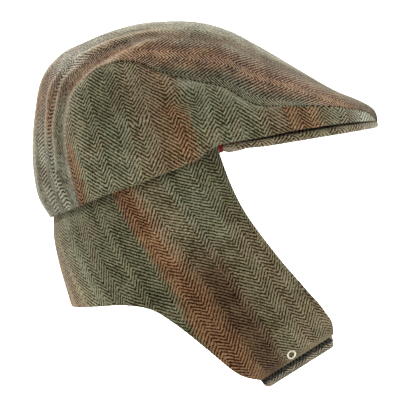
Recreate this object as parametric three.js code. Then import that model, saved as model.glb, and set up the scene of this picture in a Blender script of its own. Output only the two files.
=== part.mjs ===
// A flat cap with earflaps, as it sits on a head: the flaps are down and snapped together under the chin.
// Millimetres. +X is the front (the peak), +Y is the wearer's left, +Z is up. The origin is the centre of
// the head opening, in the plane of the headband, which is tilted up towards the front.
import * as THREE from "three";
import { mergeVertices } from "three/addons/utils/BufferGeometryUtils.js";

// Driving dimensions
const GAP = 0.3; // between pieces that touch
const TILT = THREE.MathUtils.degToRad(21.8); // the headband plane, up towards the front
const CLOTH = 2; // the crown's tweed with its backing
const FLAP = 3; // a flap: two layers of tweed
const LINING = 1;

const HEM_BACK = 98; // the crown's hem behind the origin, along X
const HEM_SIDE = 88; // half the width over the crown's hem
const HEM_LIFT = 2.5; // how far the hem is drawn up between the centre back and the ears
const HEM_FRONT = 97.4; // where the oval of the flaps' top would close at the front
const FLAP_TUCK = 8; // how far a flap's top is tucked up behind the crown's hem
const BROW_X = 94.4; // the peak's inner edge at the front of the head opening
const BROW_HALF = 84.2;

const PEAK_ROOT_X = 39.5; // where the peak starts at the temple
const PEAK_TIP_X = 164;
const PEAK_HALF = 84; // half the width over the peak's root
const PEAK_POWER = 2.2; // the roundness of the peak's outline, seen from above
const PEAK_THICK = 6;
const PEAK_ROOT_THICK = 3.6;
const PEAK_ROOT_Z = 19; // top of the peak's rim at the root, and its rise for each mm of X
const PEAK_RIM_RISE = 0.158;
const PEAK_HUMP = 3; // how far the peak's top swells between its edges
const CROWN_INSET = 0.6; // how far the crown's lower front edge stays behind the peak's rim

const STRAP_ANGLE = THREE.MathUtils.degToRad(32.3); // the strap's end edge, up from level
const CHIN_AT = 132.5; // how far down the strap it starts to turn under the chin
const CHIN_RADIUS = 63; // of the right flap's outside where it turns
const CHIN_STEP = 6.5; // how much closer the left flap lies where it passes under the right one
const FLARE = 0.00125; // how the flaps widen upwards from the turn, for each mm squared
const DRAPE = 85; // how far below the hem a flap has left the oval of the head
const RIGHT_END = 182.3; // from the strap's zero to the right flap's end
const LEFT_END = 295; // and to the left flap's end, under the right flap
const LEFT_LEAN = 3; // how far back the left flap has swung where it passes under the right one
const STRAP_LOW = -29; // the strap's lower edge at its end, across the strap
const STRAP_HIGH = 37.6;

const LINING_TOP_X = -6;
const LINING_TOP_Z = 111.5;
const LINING_ROUND = 2.45; // 2 is an ellipse, more is squarer
const LINING_DROP = 1.5; // how far its edge hangs below the plane of the headband

const SNAP_RING = 4; // outer radius of the press stud's ring
const SNAP_HOLE = 2.1;
const SNAP_HIGH = 1.2;
const SNAP_STUD = 3.5; // radius of the hidden stud
const SNAP_CLEAR = 0.6; // what the stud is shorter than the room between the flaps, at each end
const SNAP_BACK = 8; // from the right flap's end to the middle of the press stud
const SNAP_ACROSS = 1.5;

// Steps of the grids
const BACK_SEAM_STEPS = 9;
const TOP_SEAM_STEPS = 22;
const TOP_STEPS = 8; // from the centre line to the seam
const FLAP_STEPS = { across: 14, down: 20, extra: 13 };
const LINING_STEPS = { round: 8, up: 8 }; // of one gore
const PEAK_STEPS = { across: 24, out: 4, nose: 4 };

// The crown from the back hem over the top to the front, at the centre line (cx, cz) and at the seam of the
// centre panel with the side panel (mx, my, mz). turn is how far the cloth heads forward at the seam, and
// dip how far it heads down, in degrees.
const CENTRE_ROWS = [
  { at: 0.0, cx: -98, cz: -39.2, mx: -72.4, my: 59.3, mz: -27.8, turn: 45, dip: -16 },
  { at: 0.07, cx: -108, cz: -21, mx: -77.8, my: 62, mz: -3.4, turn: 45, dip: -6 },
  { at: 0.14, cx: -112.6, cz: 10, mx: -81, my: 64, mz: 15.7, turn: 44, dip: 0 },
  { at: 0.22, cx: -110.8, cz: 40, mx: -81.6, my: 65, mz: 35.7, turn: 42, dip: 8 },
  { at: 0.3, cx: -105, cz: 72, mx: -76.5, my: 65, mz: 57.7, turn: 34, dip: 24 },
  { at: 0.37, cx: -88, cz: 92, mx: -63.6, my: 67, mz: 73.7, turn: 20, dip: 42 },
  { at: 0.44, cx: -61.6, cz: 105.6, mx: -48, my: 71, mz: 82.3, turn: 10, dip: 50 },
  { at: 0.5, cx: -36, cz: 113.6, mx: -27.7, my: 76, mz: 83, turn: 4, dip: 54 },
  { at: 0.56, cx: -10, cz: 117.8, mx: -8, my: 83, mz: 75.1, turn: 0, dip: 58 },
  { at: 0.64, cx: 22, cz: 117, mx: 20, my: 85.5, mz: 67.7, turn: -2, dip: 60 },
  { at: 0.7, cx: 46, cz: 110, mx: 41, my: 84.5, mz: 62.7, turn: -4, dip: 58 },
  { at: 0.76, cx: 70, cz: 97.2, mx: 64, my: 82.5, mz: 50.1, turn: -6, dip: 54 },
  { at: 0.83, cx: 97, cz: 81.6, mx: 91, my: 76.5, mz: 49.2, turn: -10, dip: 44 },
  { at: 0.91, cx: 127, cz: 63.6, mx: 122, my: 60, mz: 49.2, turn: -20, dip: 36 },
  { at: 0.96, cx: 149, cz: 54.4, mx: 144, my: 39, mz: 47.5, turn: -30, dip: 30 },
  { at: 0.985, cx: 160.4, cz: 47.8, mx: 156, my: 25, mz: 44.4, turn: -36, dip: 16 },
  { at: 1.0, cx: 163.2, cz: 40.2, mx: 161, my: 14, mz: 40.7, turn: -40, dip: 4 },
];
const SEAM_CORNER = 0.37; // where the seam turns from the back to the top

// The side panel along the seam's top: x of the hem below each place, how steeply the cloth leaves the seam
// and reaches the hem (90 is straight down, more is tucked in), and how full it is between them.
const SIDE_ROWS = [
  { at: 0.37, hem: -72.4, leave: 88, reach: 92, full: 0.34 },
  { at: 0.44, hem: -57, leave: 66, reach: 108, full: 0.34 },
  { at: 0.5, hem: -37, leave: 62, reach: 111, full: 0.34 },
  { at: 0.56, hem: -15, leave: 64, reach: 112, full: 0.34 },
  { at: 0.64, hem: 12, leave: 66, reach: 112, full: 0.34 },
  { at: 0.7, hem: 34, leave: 70, reach: 106, full: 0.33 },
  { at: 0.76, hem: 60, leave: 78, reach: 98, full: 0.33 },
  { at: 0.83, hem: 90, leave: 80, reach: 96, full: 0.33 },
  { at: 0.91, hem: 124, leave: 80, reach: 96, full: 0.33 },
  { at: 0.96, hem: 147, leave: 78, reach: 94, full: 0.33 },
  { at: 1.0, hem: 161.6, leave: 60, reach: 80, full: 0.1 },
];

// The gap between the crown's lower front edge and the top of the peak; at is x.
const BROW_GAP_ROWS = [
  { at: 38, gap: 1.3 },
  { at: 58, gap: 1.9 },
  { at: 100, gap: 2.4 },
  { at: 135, gap: 2.1 },
  { at: 155, gap: 1.7 },
  { at: 165, gap: 1.1 },
];

// A flap's outline in its own flat view, where x and z are as worn until the strap turns under the chin, and
// run straight on from there. Rows with the same "at" lie across the flap from each other. The front edge
// comes down from the temple, by the strap's own measures: e is across it and v down it.
const FRONT_EDGE_ROWS = [
  { at: 0, e: 40.6, v: -1.2 },
  { at: 0.2, e: 32.7, v: 36.3 },
  { at: 0.4, e: 30.6, v: 68.4 },
  { at: 0.66, e: 33.4, v: 110 },
  { at: 0.84, e: 38.3, v: 143 },
  { at: 0.94, e: 41.6, v: 167 },
  { at: 1, e: 37.6, v: 182.3 },
];
// The lower edge, from the corner at the centre back to the strap's lower corner.
const LOWER_EDGE_ROWS = [
  { at: 0.22, x: -81.6, z: -110 },
  { at: 0.37, x: -60, z: -107.4 },
  { at: 0.48, x: -37, z: -105.4 },
  { at: 0.58, x: -15.4, z: -108.6 },
  { at: 0.67, x: 3.1, z: -119.8 },
  { at: 0.79, x: 27.8, z: -139.3 },
  { at: 0.91, x: 53.7, z: -161.1 },
  { at: 1, x: 72.8, z: -169.6 },
];

// The flaps' outline at the centre back; at is z.
const NAPE_ROWS = [
  { at: -112, x: -80.4 },
  { at: -104, x: -83 },
  { at: -92, x: -86.6 },
  { at: -79, x: -90.4 },
  { at: -66, x: -93.4 },
  { at: -54, x: -95.4 },
  { at: -44, x: -95.6 },
  { at: 40, x: -95.6 },
];

// Folds of the cloth, seen from the side: where, the way they run, how long and wide, and how high.
const SIDE_FOLDS = [
  { x: 54, z: 54, run: -42, length: 16, width: 5, rise: 2.2 },
  { x: 2, z: 54, run: 20, length: 14, width: 6, rise: -1.8 },
  { x: -10, z: 4, run: 40, length: 12, width: 4, rise: -1.2 },
  { x: 22, z: 14, run: 30, length: 16, width: 4, rise: -1.4 },
];
const FLAP_FOLDS = [
  { x: 54, z: -84, run: -45, length: 34, width: 8, rise: 2 },
  { x: -20, z: -70, run: -60, length: 30, width: 12, rise: -1.6 },
];
// Folds of the centre panel, by place: across is 0 at the centre line and 1 at the seam.
const TOP_FOLDS = [
  { across: 0.84, from: 0.02, to: 0.5, width: 0.08, rise: 2 },
  { across: 0.45, from: 0.06, to: 0.3, width: 0.12, rise: 1.6 },
];

const TWEED = 0x6e6650;
const DARK_TWEED = 0x5a5440;
const RED = 0x7a1420;
const NICKEL = 0xc8c2b4;

const group = new THREE.Group();

// Numbers, curves and folds

const clamp = (value) => Math.min(1, Math.max(0, value));
const mix = (a, b, share) => a + (b - a) * share;
const steps = (from, to, count) => Array.from({ length: count + 1 }, (_, i) => mix(from, to, i / count));
const spot = (x, y, z) => new THREE.Vector3(x, y, z);
const moved = (point, way, far) => point.clone().addScaledVector(way, far);

function smooth(value) {
  const share = clamp(value);
  return share * share * (3 - 2 * share);
}

// A smooth curve through one column of a table, by the rows' "at".
function column(rows, name) {
  const slope = (i) => {
    const before = rows[Math.max(0, i - 1)];
    const after = rows[Math.min(rows.length - 1, i + 1)];
    return (after[name] - before[name]) / (after.at - before.at);
  };
  return (at) => {
    let i = 0;
    while (i < rows.length - 2 && at > rows[i + 1].at) i += 1;
    const [a, b] = [rows[i], rows[i + 1]];
    const span = b.at - a.at;
    const t = clamp((at - a.at) / span);
    const start = t * (1 - t) * (1 - t) * span * slope(i);
    const end = t * t * (1 - t) * span * slope(i + 1);
    return mix(a[name], b[name], smooth(t)) + start - end;
  };
}

function columns(rows) {
  return Object.fromEntries(Object.keys(rows[0]).map((name) => [name, column(rows, name)]));
}

// A section of cloth from start to end, leaving and arriving in the given directions.
function section(start, leave, end, arrive, startFull, endFull) {
  const far = start.distanceTo(end);
  return new THREE.CubicBezierCurve3(start, moved(start, leave, far * startFull),
    moved(end, arrive, -far * endFull), end);
}

function foldRise(folds, x, z) {
  let rise = 0;
  for (const fold of folds) {
    const run = THREE.MathUtils.degToRad(fold.run);
    const along = (x - fold.x) * Math.cos(run) + (z - fold.z) * Math.sin(run);
    const across = (z - fold.z) * Math.cos(run) - (x - fold.x) * Math.sin(run);
    rise += fold.rise * Math.exp(-((along / fold.length) ** 2) - (across / fold.width) ** 2);
  }
  return rise;
}

// Grids of points, and solids made from them

const mirrored = (grid) => grid.map((row) => row.map((p) => spot(p.x, -p.y, p.z)));

// The direction out of the cloth at each point of a grid, away from the point that inside gives.
function gridWays(grid, inside) {
  return grid.map((row, i) => row.map((point, j) => {
    const next = grid[Math.min(i + 1, grid.length - 1)][j];
    const before = grid[Math.max(i - 1, 0)][j];
    const right = row[Math.min(j + 1, row.length - 1)];
    const left = row[Math.max(j - 1, 0)];
    const way = next.clone().sub(before).cross(right.clone().sub(left)).normalize();
    return way.dot(point.clone().sub(inside(point))) < 0 ? way.negate() : way;
  }));
}

function raised(grid, ways, rises) {
  return grid.map((row, i) => row.map((point, j) => moved(point, ways[i][j], rises[i][j])));
}

// A closed solid between an outer and an inner grid of the same size.
function addSheet(name, outer, inner, colour) {
  const down = outer.length;
  const wide = outer[0].length;
  const back = down * wide;
  const faces = [];
  const quad = (a, b, c, d) => faces.push(a, b, c, a, c, d);
  for (let i = 0; i + 1 < down; i += 1) {
    for (let j = 0; j + 1 < wide; j += 1) {
      const a = i * wide + j;
      quad(a, a + 1, a + wide + 1, a + wide);
      quad(back + a, back + a + wide, back + a + wide + 1, back + a + 1);
    }
    const first = i * wide;
    const last = first + wide - 1;
    quad(first, first + wide, back + first + wide, back + first);
    quad(last + wide, last, back + last, back + last + wide);
  }
  for (let j = 0; j + 1 < wide; j += 1) {
    const end = (down - 1) * wide + j;
    quad(j + 1, j, back + j, back + j + 1);
    quad(end, end + 1, back + end + 1, back + end);
  }
  addSolid(name, [...outer.flat(), ...inner.flat()], faces, colour);
}

function addSolid(name, points, faces, colour) {
  let geometry = new THREE.BufferGeometry();
  geometry.setAttribute("position", new THREE.Float32BufferAttribute(points.flatMap((p) => p.toArray()), 3));
  geometry.setIndex(faces);
  geometry = mergeVertices(geometry, 1e-3);
  geometry.setIndex(withoutEmpty([...geometry.index.array]));
  if (signedVolume(geometry) < 0) geometry.setIndex([...geometry.index.array].reverse());
  geometry.computeVertexNormals();
  addMesh(name, geometry, { color: colour, roughness: 0.95, metalness: 0 });
}

function addMesh(name, geometry, look) {
  const mesh = new THREE.Mesh(geometry, new THREE.MeshStandardMaterial(look));
  mesh.name = name;
  group.add(mesh);
  return mesh;
}

function withoutEmpty(index) {
  const kept = [];
  for (let i = 0; i < index.length; i += 3) {
    const [a, b, c] = index.slice(i, i + 3);
    if (a !== b && b !== c && c !== a) kept.push(a, b, c);
  }
  return kept;
}

function signedVolume(geometry) {
  const index = geometry.index.array;
  const corner = (i) => spot(0, 0, 0).fromBufferAttribute(geometry.attributes.position, index[i]);
  let volume = 0;
  for (let i = 0; i < index.length; i += 3) volume += corner(i).dot(corner(i + 1).cross(corner(i + 2))) / 6;
  return volume;
}

// The crown

const centre = columns(CENTRE_ROWS);
const side = columns(SIDE_ROWS);
const browGap = column(BROW_GAP_ROWS, "gap");

function bandHeight(x, y) {
  return x * Math.tan(TILT) + HEM_LIFT * (y / HEM_SIDE) ** 2 * smooth((-20 - x) / 50);
}

const peakRimTop = (x) => PEAK_ROOT_Z + PEAK_RIM_RISE * (x - PEAK_ROOT_X);

function crownEdgeHalf(x) {
  const share = clamp((x - PEAK_ROOT_X) / (PEAK_TIP_X - CROWN_INSET - PEAK_ROOT_X));
  return (PEAK_HALF - CROWN_INSET) * (1 - share ** PEAK_POWER) ** (1 / PEAK_POWER);
}

// A point of the crown's lower edge on the wearer's right: on the headband's oval behind the temple, and
// along the peak in front of it.
function hemPoint(x) {
  const oval = HEM_SIDE * Math.sqrt(1 - clamp(-x / HEM_BACK) ** 2);
  const y = mix(oval, crownEdgeHalf(x), smooth(x / 50));
  const z = mix(bandHeight(x, y), peakRimTop(x) + browGap(x), smooth((x - 17) / 22));
  return spot(x, -y, z);
}

// The direction out of the cap, seen from above, at the crown's lower edge.
function hemOut(x) {
  const along = hemPoint(x + 0.5).sub(hemPoint(x - 0.5));
  return spot(along.y, -along.x, 0).normalize();
}

function heading(out, dip) {
  const down = THREE.MathUtils.degToRad(dip);
  return out.clone().multiplyScalar(Math.cos(down)).add(spot(0, 0, -Math.sin(down)));
}

const backPlaces = steps(0, SEAM_CORNER, BACK_SEAM_STEPS);
const topPlaces = steps(SEAM_CORNER, 1, TOP_SEAM_STEPS);

function topFoldRise(at, across) {
  let rise = 0;
  for (const fold of TOP_FOLDS) {
    const between = smooth((at - fold.from) / 0.08) * smooth((fold.to - at) / 0.08);
    rise += fold.rise * between * Math.exp(-(((across - fold.across) / fold.width) ** 2));
  }
  return rise * smooth((1 - across) * 8);
}

// The right half of the centre panel, from the centre line to the seam.
function topHalf() {
  const shares = steps(0, 1, TOP_STEPS);
  const places = [...backPlaces, ...topPlaces.slice(1)];
  const grid = places.map((at) => {
    const turn = THREE.MathUtils.degToRad(centre.turn(at));
    const arrive = heading(spot(Math.sin(turn), -Math.cos(turn), 0), centre.dip(at));
    const seam = spot(centre.mx(at), -centre.my(at), centre.mz(at));
    const startFull = mix(0.345, 0.43, smooth((at - 0.1) / 0.3));
    const start = spot(centre.cx(at), 0, centre.cz(at));
    const curve = section(start, spot(0, -1, 0), seam, arrive, startFull, 0.34);
    return shares.map((share) => curve.getPoint(share));
  });
  const rises = places.map((at) => shares.map((share) => topFoldRise(at, share)));
  return { grid, rises };
}

// A side panel: its first row is the seam up the back, and its first column the seam along the top.
function sideHalf(seam) {
  const shares = steps(0, 1, BACK_SEAM_STEPS);
  const backSeam = seam.slice(0, BACK_SEAM_STEPS + 1).reverse();
  const plain = topPlaces.map((at, row) => {
    const x = side.hem(at);
    const out = hemOut(x);
    const curve = section(seam[BACK_SEAM_STEPS + row], heading(out, side.leave(at)), hemPoint(x),
      heading(out, side.reach(at)), side.full(at), side.full(at));
    return shares.map((share) => curve.getPoint(share));
  });
  const grid = plain.map((row, i) => row.map((point, j) => {
    const near = 1 - smooth(i / 6);
    return point.clone().addScaledVector(backSeam[j].clone().sub(plain[0][j]), near);
  }));
  const rises = grid.map((row, i) => row.map((point, j) => {
    const free = smooth(shares[j] * 4) * smooth((1 - shares[j]) * 4) * smooth(i / 3);
    return foldRise(SIDE_FOLDS, point.x, point.z) * free;
  }));
  return { grid, rises };
}

function addCrown() {
  const middle = (point) => spot(mix(-10, 40, clamp((point.x + 40) / 160)), 0, 20);
  const top = topHalf();
  const topSkin = raised(top.grid, gridWays(top.grid, middle), top.rises);
  const seam = topSkin.map((row) => row[TOP_STEPS]);
  const panel = sideHalf(seam);
  const sideSkin = raised(panel.grid, gridWays(panel.grid, middle), panel.rises);

  const topWays = gridWays(topSkin, middle);
  const sideWays = gridWays(sideSkin, middle);
  topWays.forEach((row) => row[0].setY(0).normalize());
  topSkin.forEach((row, i) => {
    const back = i <= BACK_SEAM_STEPS;
    const shared = back ? sideWays[0][BACK_SEAM_STEPS - i] : sideWays[i - BACK_SEAM_STEPS][0];
    shared.add(topWays[i][TOP_STEPS]).normalize();
    topWays[i][TOP_STEPS].copy(shared);
  });

  // Both panels draw back a little from their seam.
  const draw = (point, towards) => point.add(towards.clone().sub(point).setLength(GAP * 0.9));
  topSkin.forEach((row) => draw(row[TOP_STEPS], row[TOP_STEPS - 1]));
  const sideCopy = sideSkin.map((row) => row.map((p) => p.clone()));
  sideSkin.forEach((row, i) => draw(row[0], sideCopy[i][1]));
  sideSkin[0].forEach((point, j) => draw(point, sideCopy[1][j]));

  const inward = (grid, ways) => raised(grid, ways, grid.map((row) => row.map(() => -CLOTH)));
  const topInner = inward(topSkin, topWays);
  const sideInner = inward(sideSkin, sideWays);
  const whole = (grid) => mirrored(grid).map((row, i) => [...row.reverse(), ...grid[i].slice(1)]);
  addSheet("crown_top_panel", whole(topSkin), whole(topInner), TWEED);
  addSheet("crown_side_right", sideSkin, sideInner, TWEED);
  addSheet("crown_side_left", mirrored(sideSkin), mirrored(sideInner), TWEED);
}

// The peak: a crescent, one rounded section for each place across it

function peakSection(turn) {
  const cos = Math.max(0, Math.cos(turn));
  const rimX = mix(PEAK_ROOT_X, PEAK_TIP_X, cos ** (2 / PEAK_POWER));
  const rimY = PEAK_HALF * Math.sign(Math.sin(turn)) * Math.abs(Math.sin(turn)) ** (2 / PEAK_POWER);
  const browTurn = Math.acos(PEAK_ROOT_X / BROW_X) * (turn / (Math.PI / 2));
  const browX = BROW_X * Math.cos(browTurn);
  const browY = BROW_HALF * Math.sin(browTurn);
  const brow = spot(browX, browY, bandHeight(browX, browY));
  const rim = spot(rimX, rimY, peakRimTop(rimX));
  const out = rim.clone().sub(brow);
  const up = spot(0, 0, 1).addScaledVector(out.clone().normalize(), -out.clone().normalize().z).normalize();
  const thick = mix(PEAK_ROOT_THICK, PEAK_THICK, smooth((rimX - PEAK_ROOT_X) / 40));
  const half = thick / 2;
  const hump = (share) => 4 * share * (1 - share) * PEAK_HUMP * clamp(out.length() / 60);
  const straight = out.clone().setLength(out.length() - half);
  const along = (share, lift) => brow.clone().addScaledVector(straight, share)
    .addScaledVector(up, hump(share) + lift);
  const shares = steps(0, 1, PEAK_STEPS.out);
  const nose = steps(Math.PI / 2, -Math.PI / 2, PEAK_STEPS.nose).slice(1, -1).map((angle) => (
    along(1, -half).addScaledVector(out.clone().normalize(), half * Math.cos(angle))
      .addScaledVector(up, half * Math.sin(angle))));
  return [...shares.map((share) => along(share, 0)), ...nose,
    ...shares.reverse().map((share) => along(share, -thick))];
}

function addPeak() {
  const sections = steps(-Math.PI / 2, Math.PI / 2, PEAK_STEPS.across).map(peakSection);
  const wide = sections[0].length;
  const faces = [];
  for (let i = 0; i + 1 < sections.length; i += 1) {
    for (let j = 0; j < wide; j += 1) {
      const [a, b] = [i * wide + j, i * wide + ((j + 1) % wide)];
      faces.push(a, b, b + wide, a, b + wide, a + wide);
    }
  }
  const last = (sections.length - 1) * wide;
  for (let j = 1; j + 1 < wide; j += 1) {
    faces.push(0, j + 1, j);
    faces.push(last, last + j, last + j + 1);
  }
  addSolid("peak", sections.flat(), faces, DARK_TWEED);
}

// The flaps

const frontEdge = columns(FRONT_EDGE_ROWS);
const nape = column(NAPE_ROWS, "x");
const [SIN, COS] = [Math.sin(STRAP_ANGLE), Math.cos(STRAP_ANGLE)];

const strapPlace = (e, v) => ({ x: e * COS + v * SIN, z: e * SIN - v * COS });

// The cloth of a flap at a place of its flat view, where p is x, but is bent around the back of the head
// behind the origin. The result is on the wearer's right, for a strap that comes in by step under the chin.
function flapPoint(p, z, step) {
  const backX = -nape(z);
  const round = clamp(-p / -nape(0) / (Math.PI / 2)) * (Math.PI / 2);
  const x = p < 0 ? -backX * Math.sin(round) : p;
  const e = x * COS + z * SIN;
  const v = x * SIN - z * COS;
  const below = x * Math.sin(TILT) - z * Math.cos(TILT);
  const drape = smooth(below / DRAPE);
  const turn = (v - CHIN_AT) / (CHIN_RADIUS - step / 2);
  const radius = CHIN_RADIUS - step * smooth((turn - 0.35) / 0.9);
  const strapHalf = turn > 0 ? radius * Math.cos(turn) : CHIN_RADIUS + FLARE * (CHIN_AT - v) ** 2;
  const headHalf = (HEM_SIDE - CLOTH - GAP - 0.1) * Math.sqrt(1 - clamp(x / HEM_FRONT) ** 2);
  const half = mix(headHalf, strapHalf, drape) * Math.cos(round);
  const down = turn > 0 ? CHIN_AT + radius * Math.sin(turn) : v;
  return spot(e * COS + down * SIN, -half, e * SIN - down * COS);
}

// Where the cloth goes round the back of the head, x of the flat view gives way to p.
const bent = (x, z) => (x < 0 ? Math.asin(clamp(x / nape(z))) * nape(0) : x);

// The flap's four sides in its flat view, as places { p, z }: the top from the centre back to the temple,
// the front edge down from there, the back and the lower edge down from the centre back, and the end.
const lowerEdge = columns(LOWER_EDGE_ROWS);
const temple = strapPlace(frontEdge.e(0), frontEdge.v(0));

function flapTop(a) {
  const round = mix(Math.PI / 2, Math.asin(temple.x / nape(0)), a);
  const x = nape(0) * Math.sin(round);
  return { p: nape(0) * round, z: x * Math.tan(TILT) + FLAP_TUCK / Math.cos(TILT) };
}

function flapFront(b) {
  const place = strapPlace(frontEdge.e(b), frontEdge.v(b));
  return { p: place.x, z: mix(flapTop(1).z, place.z, smooth(b * 20)) };
}

function flapBack(b) {
  const corner = LOWER_EDGE_ROWS[0];
  if (b < corner.at) return { p: nape(0) * (Math.PI / 2), z: mix(flapTop(0).z, corner.z, b / corner.at) };
  return { p: bent(lowerEdge.x(b), lowerEdge.z(b)), z: lowerEdge.z(b) };
}

function flapEnd(a, v) {
  const lean = LEFT_LEAN * smooth((v - RIGHT_END) / 60);
  const place = strapPlace(mix(STRAP_LOW, STRAP_HIGH, a) - lean, v);
  return { p: place.x, z: place.z };
}

function flapPatch(a, b, name) {
  const between = mix(flapTop(a)[name], flapEnd(a, RIGHT_END)[name], b);
  const sides = mix(flapBack(b)[name], flapFront(b)[name], a);
  const start = mix(flapTop(0)[name], flapEnd(0, RIGHT_END)[name], b);
  const end = mix(flapTop(1)[name], flapEnd(1, RIGHT_END)[name], b);
  return between + sides - mix(start, end, a);
}

// Rows run across the flap, from the hem down to its end.
function flapGrid(end, step) {
  const shares = steps(0, 1, FLAP_STEPS.across);
  const corner = LOWER_EDGE_ROWS[0].at;
  const cornerStep = Math.round(FLAP_STEPS.down * corner);
  const rows = [...steps(0, corner, cornerStep), ...steps(corner, 1, FLAP_STEPS.down - cornerStep).slice(1)];
  const grid = rows.map((b) => shares.map((a) => (
    flapPoint(flapPatch(a, b, "p"), flapPatch(a, b, "z"), step))));
  if (end > RIGHT_END) {
    for (const v of steps(RIGHT_END, end, FLAP_STEPS.extra).slice(1)) {
      grid.push(shares.map((a) => flapPoint(flapEnd(a, v).p, flapEnd(a, v).z, step)));
    }
  }
  return grid;
}

// The middle of the head above the chin, and the middle of the turn below it.
function insideFlap(point) {
  const v = Math.min(point.x * SIN - point.z * COS, CHIN_AT);
  const place = strapPlace(point.x * COS + point.z * SIN, v);
  return spot(Math.max(place.x, -20), 0, place.z);
}

function addFlap(name, end, step, mirror) {
  const plain = flapGrid(end, step);
  const ways = gridWays(plain, insideFlap);
  const rises = plain.map((row, i) => row.map((point, j) => {
    const free = smooth(i / 3) * smooth((FLAP_STEPS.down - i) / 3) * smooth(j / 3);
    return foldRise(FLAP_FOLDS, point.x, point.z) * free;
  }));
  const skin = raised(plain, ways, rises);
  const skinWays = gridWays(skin, insideFlap);
  const cornerRow = skin.findIndex((row) => row[0].y < -1) - 1;
  skinWays.slice(0, cornerRow + 1).forEach((row) => row[0].setY(0).normalize());
  const inner = raised(skin, skinWays, skin.map((row) => row.map(() => -FLAP)));
  for (const grid of [skin, inner]) {
    grid.slice(0, cornerRow + 1).forEach((row) => row[0].setY(-GAP / 2));
  }
  if (mirror) addSheet(name, mirrored(skin), mirrored(inner), TWEED);
  else addSheet(name, skin, inner, TWEED);
}

// The lining: a dome on the oval of the head opening, sewn of four gores that meet at its top

function liningPoint(round, up, inset, shift) {
  const [cos, sin] = [Math.cos(round), Math.sin(round)];
  const backX = -nape(0) - FLAP - 2 * GAP - inset;
  const frontX = BROW_X - GAP - 0.1 - inset;
  const rimX = cos > 0 ? frontX * cos : backX * cos;
  const rimY = (HEM_SIDE - CLOTH - FLAP - 3 * GAP - inset) * sin;
  const rimZ = rimX * Math.tan(TILT) - LINING_DROP;
  const [rise, reach] = [Math.sin(up), Math.cos(up)].map((n) => Math.max(0, n) ** (2 / LINING_ROUND));
  const top = LINING_TOP_Z - inset;
  return spot(mix(LINING_TOP_X, rimX, reach), rimY * reach, mix(rimZ, top, rise)).add(shift);
}

// start is where round the dome the gore begins, and front and left are 1 or -1.
function addGore(name, start, front, left) {
  const shift = spot(front, left, 0).multiplyScalar(GAP / 2);
  const [outer, inner] = [GAP / 2, GAP / 2 + LINING].map((inset) => (
    steps(0, Math.PI / 2, LINING_STEPS.up).map((up) => (
      steps(start, start + Math.PI / 2, LINING_STEPS.round).map((round) => (
        liningPoint(round, up, inset, shift)))))));
  for (const grid of [outer, inner]) grid.at(-1).forEach((point) => point.copy(grid.at(-1)[0]));
  addSheet(name, outer, inner, RED);
}

function addLining() {
  addGore("lining_front_left", 0, 1, 1);
  addGore("lining_back_left", Math.PI / 2, -1, 1);
  addGore("lining_back_right", Math.PI, -1, -1);
  addGore("lining_front_right", Math.PI * 1.5, 1, -1);
}

// The press stud

function addSnap() {
  const turn = (RIGHT_END - SNAP_BACK - CHIN_AT) / CHIN_RADIUS;
  const place = (radius) => {
    const down = CHIN_AT + radius * Math.sin(turn);
    return spot(SNAP_ACROSS * COS + down * SIN, -radius * Math.cos(turn), SNAP_ACROSS * SIN - down * COS);
  };
  const out = place(CHIN_RADIUS).sub(place(CHIN_RADIUS - 1)).normalize();
  const stand = (mesh, radius) => {
    mesh.quaternion.setFromUnitVectors(spot(0, 1, 0), out);
    mesh.position.copy(place(radius));
  };
  const ringProfile = [[SNAP_HOLE, 0], [SNAP_RING, 0], [SNAP_RING, 0.5], [SNAP_RING - 0.7, SNAP_HIGH],
    [SNAP_HOLE + 0.5, SNAP_HIGH], [SNAP_HOLE, 0.7], [SNAP_HOLE, 0]].map(([r, h]) => new THREE.Vector2(r, h));
  const metal = { color: NICKEL, roughness: 0.3, metalness: 1 };
  const ring = addMesh("snap_ring", new THREE.LatheGeometry(ringProfile, 24), metal);
  stand(ring, CHIN_RADIUS + GAP + 0.1);
  const room = CHIN_STEP - FLAP;
  const stud = new THREE.CylinderGeometry(SNAP_STUD, SNAP_STUD, room - 2 * SNAP_CLEAR, 24);
  stand(addMesh("snap_stud", stud, metal), CHIN_RADIUS - FLAP - room / 2);
}

addCrown();
addPeak();
addLining();
addFlap("earflap_right", RIGHT_END, 0, false);
addFlap("earflap_left", LEFT_END, CHIN_STEP, true);
addSnap();

export default group;
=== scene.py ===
"""The looks of the flat cap with earflaps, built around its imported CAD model.

Lengths are in millimetres until a mesh is made, and the frame is the CAD's: +X is the front, +Y is the
wearer's left, +Z is up, and the origin is the centre of the head opening.
"""

import math

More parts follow.
